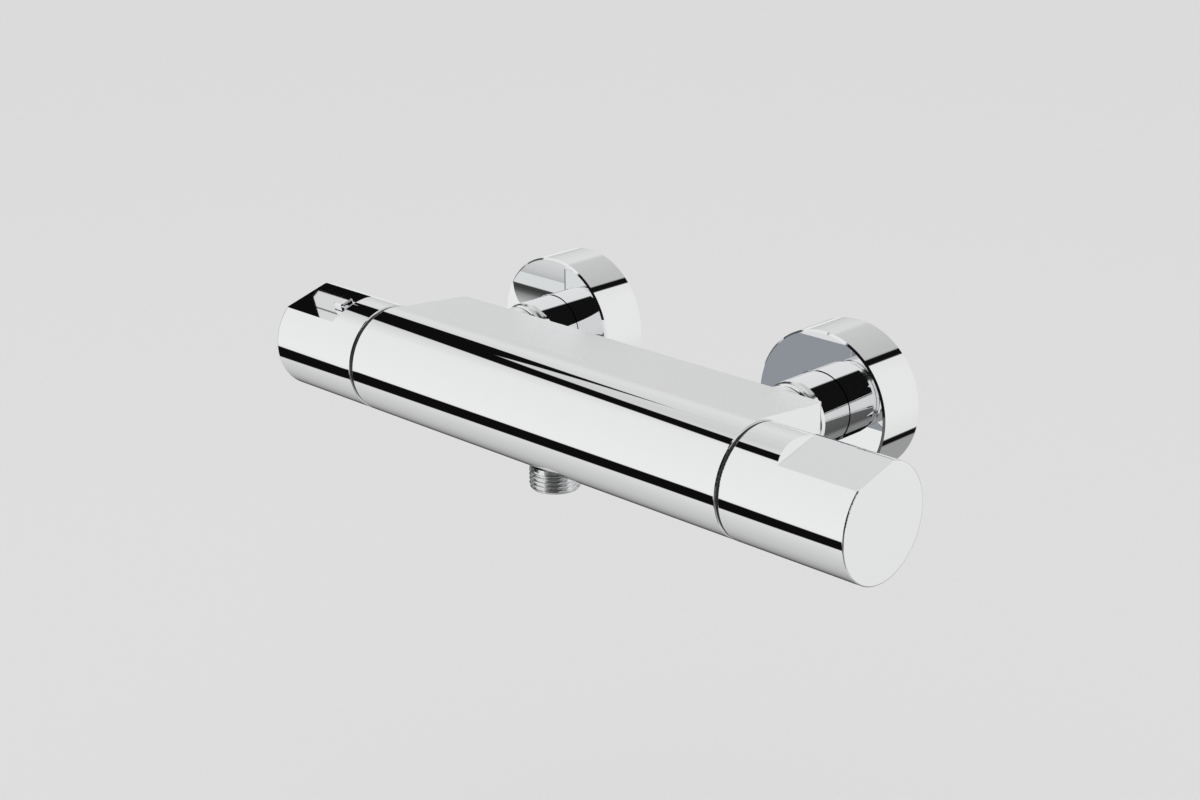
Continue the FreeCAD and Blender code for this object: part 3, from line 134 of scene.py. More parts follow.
class NodeWriter:
    """Writes one node tree: every node comes from add, and sums come from Wire."""

    def __init__(self, tree: bpy.types.NodeTree) -> None:
        """Keeps the tree to write in."""
        self.tree = tree

    def add(self, kind: str, settings: dict | None = None, sockets: dict | None = None) -> bpy.types.Node:
        """Makes one node.

        Args:
            kind: Node type, such as ShaderNodeMath.
            settings: Properties of the node, set before its sockets.
            sockets: Values or wires by socket name or place.

        Returns:
            The node.
        """
        node = self.tree.nodes.new(kind)
        for name, value in (settings or {}).items():
            if name == "stops":
                self._stops(node.color_ramp, value)
            elif name == "points":
                self._points(node, value)
            else:
                setattr(node, name, value)
        for name, value in (sockets or {}).items():
            self.feed(node.inputs[name], value)
        return node

    def feed(self, target: bpy.types.NodeSocket, value: object) -> None:
        """Links a wire to a socket, or sets the socket to a plain value.

        Args:
            target: Input of a node.
            value: Wire, number, colour or material.
        """
        if isinstance(value, Wire):
            self.tree.links.new(value.socket, target)
        else:
            target.default_value = value

    def wire(self, kind: str, output: str | int = 0, settings: dict | None = None,
             sockets: dict | None = None) -> Wire:
        """Makes one node and gives one of its outputs.

        Args:
            kind: Node type.
            output: Name or place of the output.
            settings: Properties of the node.
            sockets: Values or wires by socket name or place.

        Returns:
            The output as a wire.
        """
        return Wire(self, self.add(kind, settings, sockets).outputs[output])

    def math(self, operation: str, first: "Wire | float", second: "Wire | float") -> Wire:
        """Makes one sum of two values."""
        return self.wire("ShaderNodeMath", 0, {"operation": operation}, {0: first, 1: second})

    def parts(self, vector: Wire) -> tuple[Wire, Wire, Wire]:
        """Splits a vector into its three values."""
        split = self.add("ShaderNodeSeparateXYZ", {}, {"Vector": vector})
        return tuple(Wire(self, split.outputs[axis]) for axis in "XYZ")

    def angle(self, rise: Wire, run: Wire) -> Wire:
        """Angle of a slope in degrees, from -180 to 180."""
        return self.math("ARCTAN2", rise, run) * math.degrees(1.0)

    def mix(self, factor: "Wire | float", first: object, second: object) -> Wire:
        """Mixes two colours.

        Args:
            factor: Share of the second colour.
            first: Colour or wire.
            second: Colour or wire.

        Returns:
            The mixed colour.
        """
        return self.wire("ShaderNodeMix", 2, {"data_type": "RGBA"}, {0: factor, 6: first, 7: second})

    def ramp(self, factor: Wire, stops: list[tuple[float, tuple[float, float, float]]]) -> Wire:
        """Colour ramp with straight runs between its stops."""
        return self.wire("ShaderNodeValToRGB", 0, {"stops": stops}, {"Fac": factor})

    def curve(self, value: Wire, places: list[tuple[float, float]], low: float, high: float) -> Wire:
        """A value looked up on a bent line.

        Args:
            value: Where to look.
            places: Pairs of place and value along the line, places rising.
            low: Lowest value that the line takes.
            high: Highest value that it takes.

        Returns:
            The value of the line there.
        """
        first, last = places[0][0], places[-1][0]
        points = [((x - first) / (last - first), (y - low) / (high - low)) for x, y in places]
        share = (value - first) / (last - first)
        inside = share.at_least(0.0).at_most(1.0)
        looked_up = self.wire("ShaderNodeFloatCurve", 0, {"points": points}, {"Value": inside})
        return looked_up * (high - low) + low

    def noise(self, place: Wire, scale: float, detail: float = 2.0, roughness: float = 0.5) -> Wire:
        """Smooth noise from 0 to 1 with its grain set by scale."""
        return self.wire("ShaderNodeTexNoise", "Fac", {},
                         {"Vector": place, "Scale": scale, "Detail": detail, "Roughness": roughness})

    @staticmethod
    def _stops(ramp: bpy.types.ColorRamp, stops: list[tuple[float, tuple[float, float, float]]]) -> None:
        """Sets the stops of a colour ramp.

        Args:
            ramp: The ramp of a new node.
            stops: Pairs of place and colour, places rising.
        """
        while len(ramp.elements) < len(stops):
            ramp.elements.new(1.0)
        for element, (place, colour) in zip(ramp.elements, stops):
            element.position = place
            element.color = (*colour, 1.0)

    @staticmethod
    def _points(node: bpy.types.Node, points: list[tuple[float, float]]) -> None:
        """Sets the points of a float curve, joined by straight runs.

        Args:
            node: A new float curve node.
            points: Pairs of place and value, both from 0 to 1, places rising.
        """
        line = node.mapping.curves[0]
        while len(line.points) < len(points):
            line.points.new(0.5, 0.5)
        for point, place in zip(line.points, points):
            point.location = place
            point.handle_type = "VECTOR"
        node.mapping.update()


def linear(code: float) -> float:
    """Light of a display value.

    Args:
        code: Display value from 0 to 255.

    Returns:
        The linear light from 0 to 1.
    """
    share = code / 255.0
    if share <= 0.04045:
        return share / 12.92
    return ((share + 0.055) / 1.055) ** 2.4


# ---------------------------------------------------------------- finishes
class Slot(Enum):
    """The material slots of the record."""

    CHROME = "chrome_plate"
    TAIL = "plated_tail"
    BRASS = "bare_brass"
    DARK_RING = "dark_ring_plastic"
    STOP_RING = "stop_ring_plastic"
    HUB = "hub_plastic"
    CARTRIDGE = "cartridge_plastic"
    RUBBER = "seal_rubber"
    STEEL = "spring_steel"
    CERAMIC = "ceramic"
    COPPER = "wax_copper"


@dataclass(frozen=True)
class Finish:
    """What every finish has: a name, a colour and a roughness that varies a little."""

    name: str
    colour: tuple[float, float, float]
    roughness: float
    spread: float = 0.02
    gloss_detail: float = 3.0
    cloud_detail: float = 4.0

    def build(self) -> bpy.types.Material:
        """Makes the material.

        Returns:
            A material with one shader and the nodes of this finish.
        """
        material = bpy.data.materials.new(self.name)
        material.use_nodes = True
        material.node_tree.nodes.clear()
        nodes = NodeWriter(material.node_tree)
        place = nodes.wire("ShaderNodeTexCoord", "Object")
        sockets = self.shade(nodes, place)
        shader = nodes.wire("ShaderNodeBsdfPrincipled", 0, {}, sockets)
        nodes.add("ShaderNodeOutputMaterial", {}, {"Surface": shader})
        return material

    def shade(self, nodes: NodeWriter, place: Wire) -> dict:
        """Gives the values and wires of the shader's sockets.

        Args:
            nodes: Writer of the material's tree.
            place: Where on the object.

        Returns:
            Values and wires by socket name.
        """
        raise NotImplementedError

    def rough(self, nodes: NodeWriter, place: Wire, scale: float) -> Wire:
        """Roughness that wanders round its middle value with noise of the given scale."""
        wander = nodes.noise(place, scale, self.gloss_detail) * (2.0 * self.spread)
        return wander + (self.roughness - self.spread)

    def tinted(self, nodes: NodeWriter, place: Wire, scale: float, depth: float) -> Wire:
        """The finish's colour, darker in faint clouds.

        Args:
            nodes: Writer of the material's tree.
            place: Where on the object.
            scale: Grain of the clouds.
            depth: How much darker a cloud gets, from 0 to 1.

        Returns:
            The colour.
        """
        darker = tuple(channel * (1.0 - depth) for channel in self.colour)
        clouds = nodes.noise(place, scale, self.cloud_detail)
        return nodes.mix(clouds, (*self.colour, 1.0), (*darker, 1.0))

    def bump(self, nodes: NodeWriter, height: Wire, distance: float, strength: float = 1.0) -> Wire:
        """Normal of a surface with fine relief."""
        return nodes.wire("ShaderNodeBump", 0, {},
                          {"Strength": strength, "Distance": distance, "Height": height})

    def stretched(self, nodes: NodeWriter, place: Wire, scale: tuple[float, float, float]) -> Wire:
        """Place on the object, scaled along each axis."""
        return nodes.wire("ShaderNodeMapping", 0, {}, {"Vector": place, "Scale": scale})


@dataclass(frozen=True)
class PolishedChrome(Finish):
    """Bright plate over polished brass: mirror-like, with faint wipe marks.

    The top of the shelf is brushed, and the bosses and nut collars behind it are a little softer.
    Their places are measured from the bar's axis.
    """

    wipe_stretch: tuple[float, float, float] = (0.35, 1.0, 1.6)
    wipe_scale: float = 34.0
    wipe_detail: float = 5.0
    wipe_contrast: float = 0.62
    cloud_scale: float = 60.0
    cloud_depth: float = 0.015
    table_slope: float = 5.2
    table_reach: float = 0.023
    table_skin: tuple[float, float] = (0.0001, 0.0003)
    table_start: float = 0.003
    table_full: float = 0.009
    table_end: float = 0.042
    table_roughness: float = 0.32
    collar_start: float = 0.0412
    collar_full: float = 0.0415
    collar_end: float = 0.0556
    collar_roughness: float = 0.15
    end_fade: float = 0.0005

    def shade(self, nodes: NodeWriter, place: Wire) -> dict:
        """Mirror with slightly uneven gloss."""
        wiped = nodes.noise(self.stretched(nodes, place, self.wipe_stretch), self.wipe_scale,
                            self.wipe_detail, self.wipe_contrast)
        roughness = wiped * (2.0 * self.spread) + (self.roughness - self.spread)
        roughness = roughness.at_least(self._table(nodes, place) * self.table_roughness)
        roughness = roughness.at_least(self._collar(nodes, place) * self.collar_roughness)
        colour = self.tinted(nodes, place, self.cloud_scale, self.cloud_depth)
        return {"Base Color": colour, "Metallic": 1.0, "Roughness": roughness}

    def _collar(self, nodes: NodeWriter, place: Wire) -> Wire:
        """Share of the softer bosses and nut collars behind the shelf.

        Args:
            nodes: Writer of the material's tree.
            place: Where on the object.

        Returns:
            1 on them, 0 elsewhere.
        """
        depth = nodes.parts(place)[1] - BAR_Y
        behind = depth.step(self.collar_start, self.collar_full)
        return behind * (self.collar_end - depth).step(0.0, self.end_fade)

    def _table(self, nodes: NodeWriter, place: Wire) -> Wire:
        """Share of the brushed top of the shelf behind the bar.

        Args:
            nodes: Writer of the material's tree.
            place: Where on the object.

        Returns:
            1 on it, 0 elsewhere.
        """
        _, y, z = nodes.parts(place)
        depth = y - BAR_Y
        height = z - BAR_Z
        slope = math.radians(self.table_slope)
        above = depth * math.sin(slope) + height * math.cos(slope) - self.table_reach
        flat = 1.0 - abs(above).step(*self.table_skin)
        reached = depth.step(self.table_start, self.table_full)
        return flat * reached * (self.table_end - depth).step(0.0, self.end_fade)


@dataclass(frozen=True)
class SatinChrome(Finish):
    """Plate over turned brass that wasn't polished: fine rings round the axis."""

    ring_stretch: tuple[float, float, float] = (0.02, 1.0, 0.02)
    ring_scale: float = 5200.0
    ring_height: float = 0.00001
    ring_strength: float = 0.6
    cloud_scale: float = 90.0
    cloud_depth: float = 0.06
    gloss_scale: float = 220.0

    def shade(self, nodes: NodeWriter, place: Wire) -> dict:
        """Soft metal with turning rings along Y."""
        rings = nodes.noise(self.stretched(nodes, place, self.ring_stretch), self.ring_scale)
        return {"Base Color": self.tinted(nodes, place, self.cloud_scale, self.cloud_depth),
                "Metallic": 1.0,
                "Roughness": self.rough(nodes, place, self.gloss_scale),
                "Normal": self.bump(nodes, rings, self.ring_height, self.ring_strength)}


@dataclass(frozen=True)
class MachinedBrass(Finish):
    """Bare brass as it leaves the lathe, a little tarnished."""

    tool_stretch: tuple[float, float, float] = (1.0, 1.0, 0.02)
    tool_scale: float = 3600.0
    tool_height: float = 0.000012
    tool_strength: float = 0.5
    tarnish_scale: float = 130.0
    tarnish_detail: float = 5.0
    tarnish_contrast: float = 0.6
    tarnish_edges: tuple[float, float] = (0.45, 0.8)
    tarnish_shades: tuple[float, float, float] = (0.78, 0.72, 0.62)
    tarnish_roughness: float = 0.12
    gloss_scale: float = 150.0

    def shade(self, nodes: NodeWriter, place: Wire) -> dict:
        """Warm metal with tool lines and faint tarnish."""
        lines = nodes.noise(self.stretched(nodes, place, self.tool_stretch), self.tool_scale)
        tarnish = nodes.noise(place, self.tarnish_scale, self.tarnish_detail, self.tarnish_contrast)
        tarnish = tarnish.step(*self.tarnish_edges)
        dull = tuple(channel * shade for channel, shade in zip(self.colour, self.tarnish_shades))
        gloss = self.rough(nodes, place, self.gloss_scale) + tarnish * self.tarnish_roughness
        return {"Base Color": nodes.mix(tarnish, (*self.colour, 1.0), (*dull, 1.0)), "Metallic": 1.0,
                "Roughness": gloss, "Normal": self.bump(nodes, lines, self.tool_height, self.tool_strength)}


@dataclass(frozen=True)
class MouldedPlastic(Finish):
    """Moulded plastic with a fine spark-eroded grain."""

    grain_scale: float = 4200.0
    grain_detail: float = 2.0
    grain_contrast: float = 0.6
    grain_height: float = 0.00001
    grain_strength: float = 0.7
    cloud_scale: float = 180.0
    cloud_depth: float = 0.08
    gloss_scale: float = 400.0

    def shade(self, nodes: NodeWriter, place: Wire) -> dict:
        """Dull plastic, slightly uneven in colour."""
        grain = nodes.noise(place, self.grain_scale, self.grain_detail, self.grain_contrast)
        return {"Base Color": self.tinted(nodes, place, self.cloud_scale, self.cloud_depth),
                "Roughness": self.rough(nodes, place, self.gloss_scale),
                "Normal": self.bump(nodes, grain, self.grain_height, self.grain_strength)}


@dataclass(frozen=True)
class SealRubber(Finish):
    """Smooth black rubber with a trace of mould powder."""

    bloom_scale: float = 350.0
    bloom_detail: float = 5.0
    bloom_contrast: float = 0.65
    bloom_edges: tuple[float, float] = (0.5, 0.85)
    bloom_share: float = 0.35
    bloom_light: float = 0.05
    gloss_scale: float = 500.0

    def shade(self, nodes: NodeWriter, place: Wire) -> dict:
        """Dark matt surface with a pale bloom in patches."""
        bloom = nodes.noise(place, self.bloom_scale, self.bloom_detail, self.bloom_contrast)
        bloom = bloom.step(*self.bloom_edges) * self.bloom_share
        pale = tuple(channel + self.bloom_light for channel in self.colour)
        return {"Base Color": nodes.mix(bloom, (*self.colour, 1.0), (*pale, 1.0)),
                "Roughness": self.rough(nodes, place, self.gloss_scale)}


@dataclass(frozen=True)
class DrawnSteel(Finish):
    """Stainless wire and sheet with drawing lines."""

    streak_scale: float = 900.0
    streak_detail: float = 3.0
    streak_contrast: float = 0.7
    streak_edges: tuple[float, float] = (0.35, 0.75)
    streak_shade: float = 0.82
    gloss_scale: float = 700.0

    def shade(self, nodes: NodeWriter, place: Wire) -> dict:
        """Grey metal, a little streaky."""
        streaks = nodes.noise(place, self.streak_scale, self.streak_detail, self.streak_contrast)
        streaks = streaks.step(*self.streak_edges)
        darker = tuple(channel * self.streak_shade for channel in self.colour)
        return {"Base Color": nodes.mix(streaks, (*self.colour, 1.0), (*darker, 1.0)),
                "Metallic": 1.0, "Roughness": self.rough(nodes, place, self.gloss_scale)}


@dataclass(frozen=True)
class GroundCeramic(Finish):
    """Alumina disc, lapped to a soft shine, with fine speckle."""

    speckle_scale: float = 2600.0
    speckle_detail: float = 3.0
    speckle_contrast: float = 0.7
    speckle_edges: tuple[float, float] = (0.62, 0.74)
    speckle_share: float = 0.4
    speckle_shade: float = 0.8
    gloss_scale: float = 300.0

    def shade(self, nodes: NodeWriter, place: Wire) -> dict:
        """Off-white with tiny darker grains."""
        speckle = nodes.noise(place, self.speckle_scale, self.speckle_detail, self.speckle_contrast)
        speckle = speckle.step(*self.speckle_edges) * self.speckle_share
        darker = tuple(channel * self.speckle_shade for channel in self.colour)
        return {"Base Color": nodes.mix(speckle, (*self.colour, 1.0), (*darker, 1.0)),
                "Roughness": self.rough(nodes, place, self.gloss_scale)}


@dataclass(frozen=True)
class DrawnCopper(Finish):
    """Deep-drawn copper capsule, browned a little by heat."""

    heat_scale: float = 170.0
    heat_detail: float = 5.0
    heat_contrast: float = 0.6
    heat_edges: tuple[float, float] = (0.4, 0.75)
    heat_shades: tuple[float, float, float] = (0.72, 0.62, 0.58)
    heat_roughness: float = 0.1
    gloss_scale: float = 260.0

    def shade(self, nodes: NodeWriter, place: Wire) -> dict:
        """Reddish metal with brown clouds."""
        heat = nodes.noise(place, self.heat_scale, self.heat_detail, self.heat_contrast)
        heat = heat.step(*self.heat_edges)
        brown = tuple(channel * shade for channel, shade in zip(self.colour, self.heat_shades))
        return {"Base Color": nodes.mix(heat, (*self.colour, 1.0), (*brown, 1.0)), "Metallic": 1.0,
                "Roughness": self.rough(nodes, place, self.gloss_scale) + heat * self.heat_roughness}


@dataclass
class FinishShelf:
    """All finishes of the valve, made once and handed out by slot."""

    finishes: dict[Slot, Finish] = field(default_factory=lambda: {
        Slot.CHROME: PolishedChrome("polished_chrome", (0.895, 0.9, 0.905), 0.008, 0.003),
        Slot.TAIL: SatinChrome("satin_chrome", (0.80, 0.805, 0.81), 0.24, 0.05),
        Slot.BRASS: MachinedBrass("machined_brass", (0.80, 0.60, 0.30), 0.28, 0.06),
        # Near-black ring plastic: partly the rings' own colour and partly painted shade for the shadowed
        # seams beside the handles.
        Slot.DARK_RING: MouldedPlastic("dark_ring_plastic", (0.012, 0.012, 0.014), 0.38, 0.06),
        Slot.STOP_RING: MouldedPlastic("red_stop_plastic", (0.55, 0.06, 0.03), 0.42, 0.06),
        Slot.HUB: MouldedPlastic("pale_hub_plastic", (0.72, 0.72, 0.69), 0.46, 0.07),
        Slot.CARTRIDGE: MouldedPlastic("cartridge_plastic", (0.50, 0.50, 0.47), 0.44, 0.07),
        Slot.RUBBER: SealRubber("seal_rubber", (0.018, 0.018, 0.018), 0.62, 0.08),
        Slot.STEEL: DrawnSteel("drawn_steel", (0.62, 0.62, 0.63), 0.22, 0.06),
        Slot.CERAMIC: GroundCeramic("ground_ceramic", (0.86, 0.86, 0.83), 0.2, 0.05),
        Slot.COPPER: DrawnCopper("drawn_copper", (0.72, 0.36, 0.22), 0.3, 0.06),
    })
    made: dict[Slot, bpy.types.Material] = field(default_factory=dict)

    def material(self, slot: Slot) -> bpy.types.Material:
        """Gives the material of a slot, making it the first time.

        Args:
            slot: Slot of the record.

        Returns:
            Its material.
        """
        if slot not in self.made:
            self.made[slot] = self.finishes[slot].build()
        return self.made[slot]

    def threaded(self) -> bpy.types.Material:
        """Gives the softer plate of an outside thread."""
        return PolishedChrome("threaded_chrome", (0.88, 0.885, 0.89), 0.16, 0.04).build()

    def dress_nodes(self, subparts: list[dict]) -> None:
        """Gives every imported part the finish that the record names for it.

        Args:
            subparts: The record's list of parts with their slots.
        """
        for subpart in subparts:
            part = frame["nodes"][subpart["node"]]
            part.data.materials.clear()
            part.data.materials.append(self.material(Slot(subpart["material_slot"])))
            log.info("dressed %s in %s", subpart["node"], subpart["material_slot"])


# ---------------------------------------------------------------- turned and threaded pieces
@dataclass(frozen=True)
class Ring:
    """One ring of a turned blank: where it lies along the axis, its radius, its centre and shape.

    The centre is moved along the blank's second axis by shift. A ring with six sides is a
    hexagon whose radius is half its width over flats.
    """

    along: float
    radius: float
    shift: float = 0.0
    sides: int = 0

    def points(self, steps: int) -> list[tuple[float, float, float]]:
        """Gives the ring's points.

        Args:
            steps: How many points it has.

        Returns:
            The points, anticlockwise round Z.
        """
        made = []
        for step in range(steps):
            turn = 2.0 * math.pi * step / steps
            radius = self.radius
            if self.sides:
                corner = 2.0 * math.pi / self.sides
                radius /= math.cos((turn % corner) - corner / 2.0)
            made.append((radius * math.cos(turn), self.shift + radius * math.sin(turn), self.along))
        return made


@dataclass(frozen=True)
class TurnedBlank:
    """A closed ring-shaped body made of rings: up along the outside and back along the bore."""

    outside: tuple[Ring, ...]
    bore: tuple[Ring, ...]
    steps: int = 96

    def mesh(self, name: str) -> bpy.types.Mesh:
        """Builds the blank.

        Args:
            name: Name of the mesh.

        Returns:
            A closed mesh along Z with outward faces.
        """
        rings = (*self.outside, *reversed(self.bore))
        points = [point for ring in rings for point in ring.points(self.steps)]
        faces = []
        for row in range(len(rings)):
            above = (row + 1) % len(rings)
            for step in range(self.steps):
                beside = (step + 1) % self.steps
                faces.append((row * self.steps + step, row * self.steps + beside,
                              above * self.steps + beside, above * self.steps + step))
        mesh = bpy.data.meshes.new(name)
        mesh.from_pydata(points, [], faces)
        return mesh


def ladder(start: float, end: float, radius: float, shift: float = 0.0) -> list[Ring]:
    """Rings close enough together to carry a thread.

    Args:
        start: Where the run starts along the axis.
        end: Where it ends.
        radius: Radius of the run.
        shift: Place of its centre.

    Returns:
        Rings at equal distances, with one at each end.
    """
    count = max(2, round((end - start) / PIPE_PITCH * RINGS_PER_TURN))
    return [Ring(start + (end - start) * step / count, radius, shift) for step in range(count + 1)]


@dataclass(frozen=True)
class Thread:
    """A rounded pipe thread, cut into a blank by a node tree that follows the helix.

    Crest and root are shares of half a pitch: the thread is at its full height up to the one and
    at its full depth from the other. Points that lie deeper than skin times the depth stay.
    """

    radius: float
    start: float
    end: float
    shift: float = 0.0
    pitch: float = PIPE_PITCH
    depth: float = 0.00116
    fade: float = 0.0012
    crest: float = 0.12
    root: float = 0.88
    skin: float = 1.6

    def cut(self, mesh: bpy.types.Mesh, material: bpy.types.Material) -> bpy.types.Mesh:
        """Cuts the thread.

        Args:
            mesh: Blank along Z, which is used up.
            material: Finish that the result wears.

        Returns:
            The threaded mesh.
        """
        holder = bpy.data.objects.new(mesh.name, mesh)
        bpy.context.scene.collection.objects.link(holder)
        modifier = holder.modifiers.new("thread", "NODES")
        modifier.node_group = tree = self._tree()
        values = {name: getattr(self, name.lower()) for name in THREAD_SIZES} | {"Finish": material}
        for item in tree.interface.items_tree:
            if item.in_out == "INPUT" and item.name in values:
                modifier[item.identifier] = values[item.name]
        graph = bpy.context.evaluated_depsgraph_get()
        cut = bpy.data.meshes.new_from_object(holder.evaluated_get(graph), depsgraph=graph)
        cut.name = mesh.name
        bpy.data.objects.remove(holder)
        bpy.data.meshes.remove(mesh)
        return cut

    def _tree(self) -> bpy.types.GeometryNodeTree:
        """Writes the tree that draws the outside in along the helix.

        Returns:
            A tree with a blank, the thread's sizes and a finish as inputs.
        """
        tree = bpy.data.node_groups.new("pipe_thread", "GeometryNodeTree")
        tree.interface.new_socket("Blank", in_out="INPUT", socket_type="NodeSocketGeometry")
        for name in THREAD_SIZES:
            tree.interface.new_socket(name, in_out="INPUT", socket_type="NodeSocketFloat")
        tree.interface.new_socket("Finish", in_out="INPUT", socket_type="NodeSocketMaterial")
        tree.interface.new_socket("Threaded", in_out="OUTPUT", socket_type="NodeSocketGeometry")
        nodes = NodeWriter(tree)
        given = nodes.add("NodeGroupInput")
        radius, start, end, shift, pitch, depth, fade = (
            Wire(nodes, given.outputs[name]) for name in THREAD_SIZES)
        x, y, along = nodes.parts(nodes.wire("GeometryNodeInputPosition"))
        side = y - shift
        reach = nodes.math("SQRT", x * x + side * side, 0.0)
        turn = nodes.math("ARCTAN2", side, x) / (2.0 * math.pi)
        phase = nodes.math("FRACT", along / pitch - turn, 0.0)
        groove = abs(phase * 2.0 - 1.0).step(self.crest, self.root)
        faded = ((along - start) / fade).step(0.0, 1.0) * ((end - along) / fade).step(0.0, 1.0)
        wanted = reach.at_most(radius - depth * groove * faded)
        outer = nodes.math("GREATER_THAN", reach, radius - depth * self.skin)
        inside = nodes.math("GREATER_THAN", along, start) * nodes.math("LESS_THAN", along, end)
        share = wanted / reach
        moved = nodes.wire("ShaderNodeCombineXYZ", 0, {},
                           {"X": x * share, "Y": shift + side * share, "Z": along})
        cut = nodes.wire("GeometryNodeSetPosition", 0, {}, {
            "Geometry": Wire(nodes, given.outputs["Blank"]), "Selection": outer * inside, "Position": moved})
        real = nodes.wire("GeometryNodeRealizeInstances", 0, {}, {"Geometry": cut})
        dressed = nodes.wire("GeometryNodeSetMaterial", 0, {}, {
            "Geometry": real, "Material": Wire(nodes, given.outputs["Finish"])})
        nodes.add("NodeGroupOutput", {}, {"Threaded": dressed})
        return tree


def hand_over(mesh: bpy.types.Mesh, name: str, node: str, body: str) -> bpy.types.Object:
    """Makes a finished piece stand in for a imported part.

    Args:
        mesh: Closed mesh in its place.
        name: Name of the piece.
        node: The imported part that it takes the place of.
        body: The moving body that it belongs to.

    Returns:
        The piece.
    """
    mesh.shade_smooth()
    mesh.set_sharp_from_angle(angle=math.radians(SHARP_ANGLE))
    piece = bpy.data.objects.new(name, mesh)
    bpy.context.scene.collection.objects.link(piece)
    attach(piece, body)
    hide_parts(node)
    log.info("%s takes the place of %s", name, node)
    return piece


@dataclass(frozen=True)
class HoseOutlet:
    """Threaded nipple below the bar, with the hexagon for its key and the groove of its ring.

    Heights are measured from the nipple's lower end.
    """

    axis_x: float = -0.003
    low_z: float = -0.02846
    thread_length: float = 0.008
    thread_fade: float = 0.0009
    lead: float = 0.00085
    lead_steps: int = 6
    neck_radius: float = 0.00995
    neck_length: float = 0.0063
    groove_step: float = 0.0018
    groove_width: float = 0.0022
    groove_depth: float = 0.00156
    hex_half: float = 0.006
    way_radius: float = 0.0052

    def build(self, shelf: "FinishShelf") -> None:
        """Makes the nipple and puts it in its place.

        Args:
            shelf: The finishes that it wears.
        """
        mesh = self._blank().mesh("threaded_nipple")
        thread = Thread(PIPE_CREST, 0.0, self.thread_length, fade=self.thread_fade)
        mesh = thread.cut(mesh, shelf.threaded())
        mesh.transform(Matrix.Translation((self.axis_x, BAR_Y, self.low_z)))
        hand_over(mesh, "threaded_nipple", "shower_outlet", "valve_body")

    def _blank(self) -> TurnedBlank:
        """The nipple before its thread is cut.

        Returns:
            Its rings, outside and in the bore.
        """
        top = self.thread_length + self.neck_length
        low = self.thread_length + self.groove_step
        high = low + self.groove_width
        floor = self.neck_radius - self.groove_depth
        rises = [step / self.lead_steps for step in range(self.lead_steps)]
        lead = [Ring(self.lead * rise, PIPE_CREST - self.lead * (1.0 - rise)) for rise in rises]
        outside = (*lead, *ladder(self.lead, self.thread_length, PIPE_CREST),
                   Ring(self.thread_length, self.neck_radius), Ring(low, self.neck_radius), Ring(low, floor),
                   Ring(high, floor), Ring(high, self.neck_radius), Ring(top, self.neck_radius))
        bore = (Ring(0.0, self.hex_half, sides=6), Ring(self.thread_length, self.hex_half, sides=6),
                Ring(self.thread_length, self.way_radius), Ring(top, self.way_radius))
        return TurnedBlank(outside, bore)


@dataclass(frozen=True)
class SeamShadeRing:
    """Dark plastic ring between the bar and a handle: its near-black lip fills the seam to just under the
    bar's skin, partly its own colour and partly painted shade for the seam's shadow.
    """

    side: str
    way: float
    start: float = 0.0998
    seat: float = 0.102
    lip_end: float = 0.10305
    end: float = 0.10825
    spigot_radius: float = 0.0169
    lip_radius: float = 0.0227
    lip_edge: float = 0.0002
    sleeve_radius: float = 0.0182
    bore_radius: float = 0.0163
    narrow_radius: float = 0.0155
    steps: int = 192

    def build(self, shelf: "FinishShelf") -> None:
        """Makes the ring and puts it in its place.

        Args:
            shelf: The finishes that it wears.
        """
        name = self.side + "_seam_shade_ring"
        low_lip = self.lip_radius - self.lip_edge
        outside = (Ring(self.start, self.spigot_radius), Ring(self.seat, self.spigot_radius),
                   Ring(self.seat, low_lip), Ring(self.seat + self.lip_edge, self.lip_radius),
                   Ring(self.lip_end - self.lip_edge, self.lip_radius), Ring(self.lip_end, low_lip),
                   Ring(self.lip_end, self.sleeve_radius), Ring(self.end, self.sleeve_radius))
        bore = (Ring(self.start, self.narrow_radius), Ring(self.seat, self.narrow_radius),
                Ring(self.seat, self.bore_radius), Ring(self.end, self.bore_radius))
        mesh = TurnedBlank(outside, bore, self.steps).mesh(name)
        turned = Matrix.Rotation(math.radians(90.0 * self.way), 4, "Y")
        mesh.transform(Matrix.Translation((0.0, BAR_Y, BAR_Z)) @ turned)
        # The lip's near-black plastic is partly the ring's own colour and partly painted shade for the
        # shadow in the seam.
        mesh.materials.append(shelf.material(Slot.DARK_RING))
        hand_over(mesh, name, self.side + "_slide_ring", "valve_body")


